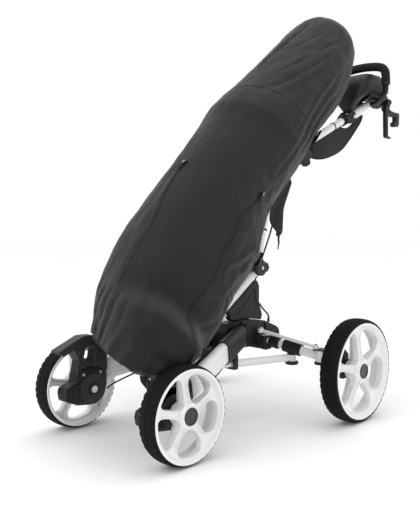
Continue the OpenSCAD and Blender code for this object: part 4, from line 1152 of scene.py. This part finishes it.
FC = [(144, -262, 118), (136, -240, 132), (112, -170, 158), (84, -90, 178), (50, -10, 190), (26, 40, 200), (18, 60, 207)]
BC = [(-24, 770, 975), (-24, 700, 944), (-26, 600, 896), (-28, 540, 866), (-28, 470, 800), (-27, 420, 740), (-26, 372, 640), (-27, 345, 566), (-29, 300, 474), (-27, 268, 412), (-24, 268, 356), (-18, 290, 320), (-10, 316, 290), (-6, 312, 268)]


for s, sx in (("right", 1), ("left", -1)):
    cable_piece(f"front_cable_{s}_v", [(sx * x, y, z) for x, y, z in FC], 2.5, f"front_cable_{s}") + (0.005,)
cable_piece("main_brake_cable_v", BC, 3.0, "main_brake_cable") + (0.006,)
# cable ferrules, clips on the frame tube and the inline adjuster
ex = []
for p, q in (((-24, 770, 975), (-22, 740, 961.7)), ((-6, 312, 268), (-8, 315, 284))):
    P = [V(*p) + (V(*q) - V(*p)) * t for t in (0, 0.15, 0.5, 0.8, 1.0)]
    ex.append(sweep("fe", P, lambda s: 0.0052 - 0.0018 * s, "black", n=16))
ex.append(sweep("adj", crom([V(-29.0, 302, 478), V(-28.2, 285, 443), V(-27.1, 272, 420)], 6), lambda s: 0.0056 if 0.15 < s < 0.85 else 0.0042, "black", n=18))
for y, z, d in ((680, 963, (0, 84, 38)), (435, 806.5, (0, 75, 64)), (372, 748, (0, 75, 64)), (272, 580, (0, 19, 80))):
    d = Vector(d).normalized()
    ex.append(lathe("tie", [(-3, 13.9), (-3, 15.2), (3, 15.2), (3, 13.9)], V(0, y, z), d, "black", n=40))
put(merge("cable_fittings", ex), "frame", "cable")

# ------------------------------------------------------------------ handle
TUBE = [V(0, 797, 1016.2), V(0, 984, 1104)]
cad("handle_tube", "white")
GPc = [(-122.1, 852, 1130.4), (-121.6, 853, 1145), (-119, 856, 1168), (-112.5, 860, 1184), (-100, 864, 1196), (-82, 867.6, 1203.4), (-60, 870, 1208), (-30, 872.4, 1211.8), (0, 873, 1213),
       (30, 872.4, 1211.8), (60, 870, 1208), (82, 867.6, 1203.4), (100, 864, 1196), (112.5, 860, 1184), (119, 856, 1168), (121.6, 853, 1145), (122.1, 852, 1130.4)]
GPp = crom([V(*p) for p in GPc], 9)
grip = sweep("gripf", GPp, lambda s: mm(16.3) * (0.93 if (s < 0.004 or s > 0.996) else 1.0) * (1 + 0.0), "grip", n=64,
             prof=lambda a, s: 1.0 - 0.022 * (0.5 + 0.5 * math.cos(a * 20)) - 0.02 * (0.5 + 0.5 * math.cos(s * 2 * math.pi * 46)) * (1 if 0.06 < s < 0.94 else 0), up=(0, 1, 0), sharp=60)
ends = []
for sx in (-1, 1):
    ends.append(lathe("ge", [(-3, 12), (-3, 16.6), (0, 17.2), (4, 17.2), (6, 16.4), (6, 12)], V(sx * 122.1, 852, 1131), (0, 0, 1), "black", n=48))
put(merge("handle_grip_v", [grip] + ends), "handle", "grip_rubber", "handle_grip")
LPc = [(0, 935, 1081), (26, 932, 1080.4), (50, 922, 1081), (75, 903, 1083.5), (96, 880, 1090), (110, 865, 1099), (120, 856, 1113), (121.8, 852, 1131)]
la = []
for sx in (-1, 1):
    la.append(sweep("la", crom([V(sx * x, y, z) for x, y, z in LPc], 8), mm(10.8), "black", n=32, up=(0, 1, 0)))
put(merge("handle_loop_arms_v", la), "handle", "black_plastic", "handle_loop_arms")

# console: a rounded shell with a parting line, a lid in a recess and a scorecard clip
prof = [(778, 1056), (815, 1052), (838, 1070), (868, 1090), (905, 1100), (945, 1104), (975, 1118), (985, 1126), (962, 1146), (930, 1164), (880, 1180), (830, 1172), (792, 1142), (772, 1100)]
CP = [(784, 1026, 24), (773, 1034, 26), (766, 1052, 40), (763, 1080, 62), (765, 1112, 70), (775, 1142, 72), (796, 1164, 72), (832, 1179, 72), (878, 1183, 72), (912, 1176, 72), (944, 1161, 72), (970, 1144, 71),
      (986, 1127, 68), (990, 1112, 60), (984, 1103, 50), (960, 1099, 46), (920, 1097, 48), (880, 1091, 48), (850, 1080, 44), (826, 1063, 36), (808, 1045, 28), (797, 1032, 24)]
cpl = crom([Vector((y, z, w)) for y, z, w in CP] + [Vector(CP[0])], 8)[:-1]
NX = 45
vs, fs = [], []
for i in range(NX):
    q = -1 + 2 * i / (NX - 1)
    sn = math.sin(q * math.pi / 2)
    xq = math.copysign(abs(sn) ** 0.9, sn) if sn else 0.0
    f_ = max(0.0, 1 - abs(xq) ** 5.0) ** 0.2
    for y, z, w in cpl:
        yy, zz, xx = 880 + (y - 880) * (0.30 + 0.70 * f_), 1118 + (z - 1118) * (0.30 + 0.70 * f_), xq * w
        if abs(xx) < 57 and 907 < yy < 957 and zz > 1140:
            zz = 1120.5 + (yy - 907) * 0.2
        vs.append(V(xx, yy, zz))
k_ = len(cpl)
for i in range(NX - 1):
    for j in range(k_):
        fs.append([i * k_ + j, i * k_ + (j + 1) % k_, (i + 1) * k_ + (j + 1) % k_, (i + 1) * k_ + j])
fs.append(list(range(k_)))
fs.append([(NX - 1) * k_ + j for j in range(k_)][::-1])
body_ = mesh("console_shell_v", vs, fs, "olive", sharp=40)
ex = []
for sx in (-1, 1):
    pp = [V(sx * w, y, z) for y, z, w in ((778, 1092, 70.5), (806, 1116, 72), (846, 1134, 72.2), (890, 1140, 72.2), (930, 1134, 72), (968, 1121, 70))]
    ex.append(sweep("cp", crom(pp, 8), 0.0016, "olive", n=10))
put(merge("console_body_v", [body_] + ex), "handle", "grey_plastic", "console_body")

lid = soften("console_lid", "black", 1.6, 3)
lx = []
for x in (-44, -22, 0, 22, 44):
    lx.append(rib("lr", V(x, 912, 1176.6), V(x, 932, 1171.2), 0.0012, "black"))
lx.append(sweep("lt", crom([V(-22, 961, 1155.2), V(-20, 966, 1155), V(0, 968.5, 1154.4), V(20, 966, 1155), V(22, 961, 1155.2)], 6), 0.0022, "black", n=12))
put(merge("console_lid_v", [lid] + lx), "console_lid", "black_plastic")

lev = soften("brake_lever", "black", 3.0, 4)
lx = [rib("lg", V(52.3, 962.2, 1028 - 12 * i), V(65.7, 962.2, 1028 - 12 * i), 0.0016, "black") for i in range(7)]
lx.append(lathe("lp", [(0, 0.01), (1.6, 0.01), (2.0, 6), (1.4, 7.4), (0, 7.8)], V(68.0, 978, 1086), (1, 0, 0), "steel", n=32, closed=False))
put(merge("brake_lever_v", [lev] + lx), "brake_lever", "black_plastic")
hk = soften("accessory_hook", "black", 2.6, 3)
hx = [rib("hk", V(42.2, 1012, 1072), V(42.2, 1040, 1058), 0.0016, "black"), rib("hk", V(42.2, 1060, 1053), V(42.2, 1098, 1053), 0.0016, "black"),
      rib("hk", V(19.8, 1012, 1072), V(19.8, 1040, 1058), 0.0016, "black"), screw("hs", V(48.1, 975, 1088), (1, 0, 0), mm(0.01)) if False else screw("hs", V(42.1, 1102, 1030), (1, 0, 0), mm(3.6))]
put(merge("accessory_hook_v", [hk] + hx), "handle", "black_plastic")


# ------------------------------------------------------------------ strap flap and storage pouch
def band(name, left, right, half, wave, mat, rows=60, cols=16, x0=0.0, edge=True, thick=None):
    """Cloth panel between two side curves in the cart's Y and Z, given thickness and soft waves across X."""
    Lp = crom([(0, y, z) for y, z in left], 12)
    Rp = crom([(0, y, z) for y, z in right], 12)

    def at(P, t):
        f = t * (len(P) - 1)
        i = min(len(P) - 2, int(f))
        return P[i] * (1 - (f - i)) + P[i + 1] * (f - i)
    vs, fs = [], []
    th = thick or half
    for side_ in (1, -1):
        for i in range(rows + 1):
            t = i / rows
            a, b = at(Lp, t), at(Rp, t)
            for j in range(cols + 1):
                u = j / cols
                p = a * (1 - u) + b * u
                ex_ = min(u, 1 - u, t * 1.5, (1 - t) * 1.5) * 8
                e = min(1.0, ex_) ** 0.5
                x = x0 + wave(t, u) + side_ * th * (0.35 + 0.65 * e)
                if j in (0, cols) or i in (0, rows):
                    x = x0 + wave(t, u) + side_ * th * 0.45
                vs.append(V(x, p.y, p.z))
    W = cols + 1
    m = (rows + 1) * W
    for i in range(rows):
        for j in range(cols):
            a, b, c, d = i * W + j, i * W + j + 1, (i + 1) * W + j + 1, (i + 1) * W + j
            fs.append([a, b, c, d])
            fs.append([d + m, c + m, b + m, a + m])
    for i in range(rows):
        for j in (0, cols):
            a, d = i * W + j, (i + 1) * W + j
            fs.append([a, d, d + m, a + m] if j == 0 else [d, a, a + m, d + m])
    for j in range(cols):
        for i in (0, rows):
            a, b = i * W + j, i * W + j + 1
            fs.append([b, a, a + m, b + m] if i == 0 else [a, b, b + m, a + m])
    return mesh(name, vs, fs, mat, sharp=60)


fl = band("rear_strap_flap_v", [(419, 766), (380, 735), (345, 705), (323, 682), (311, 640), (310, 610), (324, 590), (345, 586)], [(424, 744), (421, 725), (413, 700), (388, 652), (378, 606), (374, 570), (360, 558), (350, 560)],
          2.0, lambda t, u: 4.2 * math.sin(t * 9 + 2 * u) * (0.3 + u * 0.7) + 1.2 * math.sin(u * 7 + t * 5), "flap", thick=1.5)
tail = band("tl", [(360, 560), (358, 546), (364, 534), (361, 523), (357, 515)], [(374, 566), (368, 550), (372, 534), (366, 520), (363, 512)], 1.0, lambda t, u: -5.5 + 1.5 * math.sin(t * 8), "flap", rows=30, cols=6, thick=1.2)
hemf = [rib("fh", V(7.0, 420, 757), V(7.0, 416, 752), 0.0001, "flap")] if False else []
buckle = prism("bk", -5.5, 5.5, [(352, 566), (372, 572), (376, 590), (354, 584)], "black", 1.6)
put(fl, "frame", "flap_cloth", "rear_strap_flap")
put(tail, "frame", "flap_cloth")
tail.name = "strap_tail"
buckle.name = "strap_buckle"
put(buckle, "frame", "black_plastic")
UPN = [(554, 880), (606, 908), (680, 942), (732, 966), (772, 969), (806, 983), (862, 1021), (880, 1030)]
LON = [(538, 857), (545, 841), (580, 837), (634, 844), (712, 870), (768, 906), (862, 996), (880, 1028)]
nt_ = band("storage_net_v", UPN, LON, 7.5, lambda t, u: 2.0 * math.sin(t * 6), "net", rows=90, cols=36, thick=6.6)
bindn = []
for sx in (-1, 1):
    pts = [(554, 880)] + LON + [(880, 1030)]
    bindn.append(sweep("nb", crom([V(sx * 3.6 + 2.0 * math.sin(i), y, z) for i, (y, z) in enumerate(pts)], 8), 0.0024, "bind", n=10))
put(nt_, "frame", "flap_cloth", "storage_net")
nb = merge("storage_net_binding", bindn)
put(nb, "frame", "flap_cloth")

# ------------------------------------------------------------------ golf bag under the cover
def bag_ring(s, r, wob, n=96):
    out = []
    for j in range(n):
        a = 2 * math.pi * j / n
        q = r + wob * (math.sin(6 * a + s / 90.0) * 0.6 + math.sin(2 * a + s / 140.0))
        out.append(B(q * math.sin(a), q * math.cos(a) - 22, s))
    return out


rows, vs, fs = [], [], []
ss = [52, 54, 60, 70, 110, 160, 220, 280, 340, 400, 460, 520, 580, 640, 700, 760, 820, 850, 866, 872, 876]
for s in ss:
    base_r = 114.2 - (2.2 * math.sin((s - 52) / 824 * math.pi) ** 2) + (1.2 if s in (60, 866) else 0) - (3 if s == 52 else 0)
    rows.append(bag_ring(s, base_r, 0.0 if s < 62 or s > 850 else 1.3))
inner = [[B(110.8 * math.sin(2 * math.pi * j / 96), 110.8 * math.cos(2 * math.pi * j / 96) - 22, s) for j in range(96)] for s in (876, 500, 60)]
rows += inner
for r in rows:
    vs += r
for i in range(len(rows) - 1):
    for j in range(96):
        fs.append([i * 96 + j, i * 96 + (j + 1) % 96, (i + 1) * 96 + (j + 1) % 96, (i + 1) * 96 + j])
fs.append(list(range(96))[::-1])
fs.append([(len(rows) - 1) * 96 + j for j in range(96)])
tubeb = mesh("bag_tube", vs, fs, "bag", sharp=50)


def pocket(name, x0, x1, c0, c1, s0, s1, dirn, bulge):
    """A stuffed pocket: a rounded box whose outer face crowns; bulge is not used."""
    n1, n2 = 22, 34
    vs, fs = [], []
    idx = {}

    def P(u, v, w):
        # u across, v along the bag, w out
        x = x0 + (x1 - x0) * u
        c = c0 + (c1 - c0) * w
        s = s0 + (s1 - s0) * v
        return x, c, s
    k = 0
    grid = {}
    for side_ in (0, 1):
        for i in range(n2 + 1):
            for j in range(n1 + 1):
                u, v = j / n1, i / n2
                eu = min(u, 1 - u) * 2
                ev = min(v, 1 - v) * 2
                crown = (1 - (1 - min(1, eu * 2.4)) ** 3) * (1 - (1 - min(1, ev * 4)) ** 3)
                if side_:
                    w = 0.25 + 0.75 * crown * (0.86 + 0.14 * math.sin(math.pi * u) * math.sin(math.pi * v))
                else:
                    w = 0.0
                vs.append(dirn(u, v, w))
    W = n1 + 1
    m = (n2 + 1) * W
    for i in range(n2):
        for j in range(n1):
            a, b, c, d = i * W + j, i * W + j + 1, (i + 1) * W + j + 1, (i + 1) * W + j
            fs.append([a, b, c, d])
            fs.append([d + m, c + m, b + m, a + m])
    for i in range(n2):
        for j in (0, n1):
            a, d = i * W + j, (i + 1) * W + j
            fs.append([a, d, d + m, a + m])
    for j in range(n1):
        for i in (0, n2):
            a, b = i * W + j, i * W + j + 1
            fs.append([a, b, b + m, a + m])
    return mesh(name, vs, fs, "bag", sharp=60)


front = pocket("bag_pocket_front", 0, 0, 0, 0, 0, 0, lambda u, v, w: B(-50 + 100 * u, -22 - 104 - 40 * w * 0.98 + 0, 190 + 336 * v), 0)
pr_ = pocket("bag_pocket_right", 0, 0, 0, 0, 0, 0, lambda u, v, w: B(96 + 33.5 * w, -22 - 68 + 86 * u, 210 + 416 * v), 0)
pl_ = pocket("bag_pocket_left", 0, 0, 0, 0, 0, 0, lambda u, v, w: B(-97 - 33 * w, -22 - 68 + 86 * u, 210 + 416 * v), 0)
put(tubeb, "bag", "bag_cloth", "bag_body")
for o in (front, pr_, pl_):
    put(o, "bag", "bag_cloth")
# piping round the tube and handles of the pockets' zips
pp = []
for s in (60, 866):
    pp.append(sweep("bp", [B(116.0 * math.sin(2 * math.pi * j / 80), 116.0 * math.cos(2 * math.pi * j / 80) - 22, s) for j in range(80)], 0.0028, "bind", n=10, closed=True))
pp.append(sweep("bz", [B(x, -22 - 104 - 39.6, 470) for x in np.linspace(-34, 34, 20)], 0.0022, "zipm", n=10))
for sx in (1, -1):
    pp.append(sweep("bz", [B(sx * 128.6 + (0.4 if sx > 0 else -0.4), -22 - 50 + 50 * t, 560) for t in np.linspace(0, 1, 16)], 0.0022, "zipm", n=10))
put(merge("bag_piping", pp), "bag", "bag_cloth")
soft_part("bag_base", "bag", "black_plastic", "black", 2.0, 3)
soft_part("bag_top_cuff", "bag", "black_plastic", "black", 2.0, 3)
soft_part("club_set", "bag", "club_steel", "chrome", 1.4, 2)

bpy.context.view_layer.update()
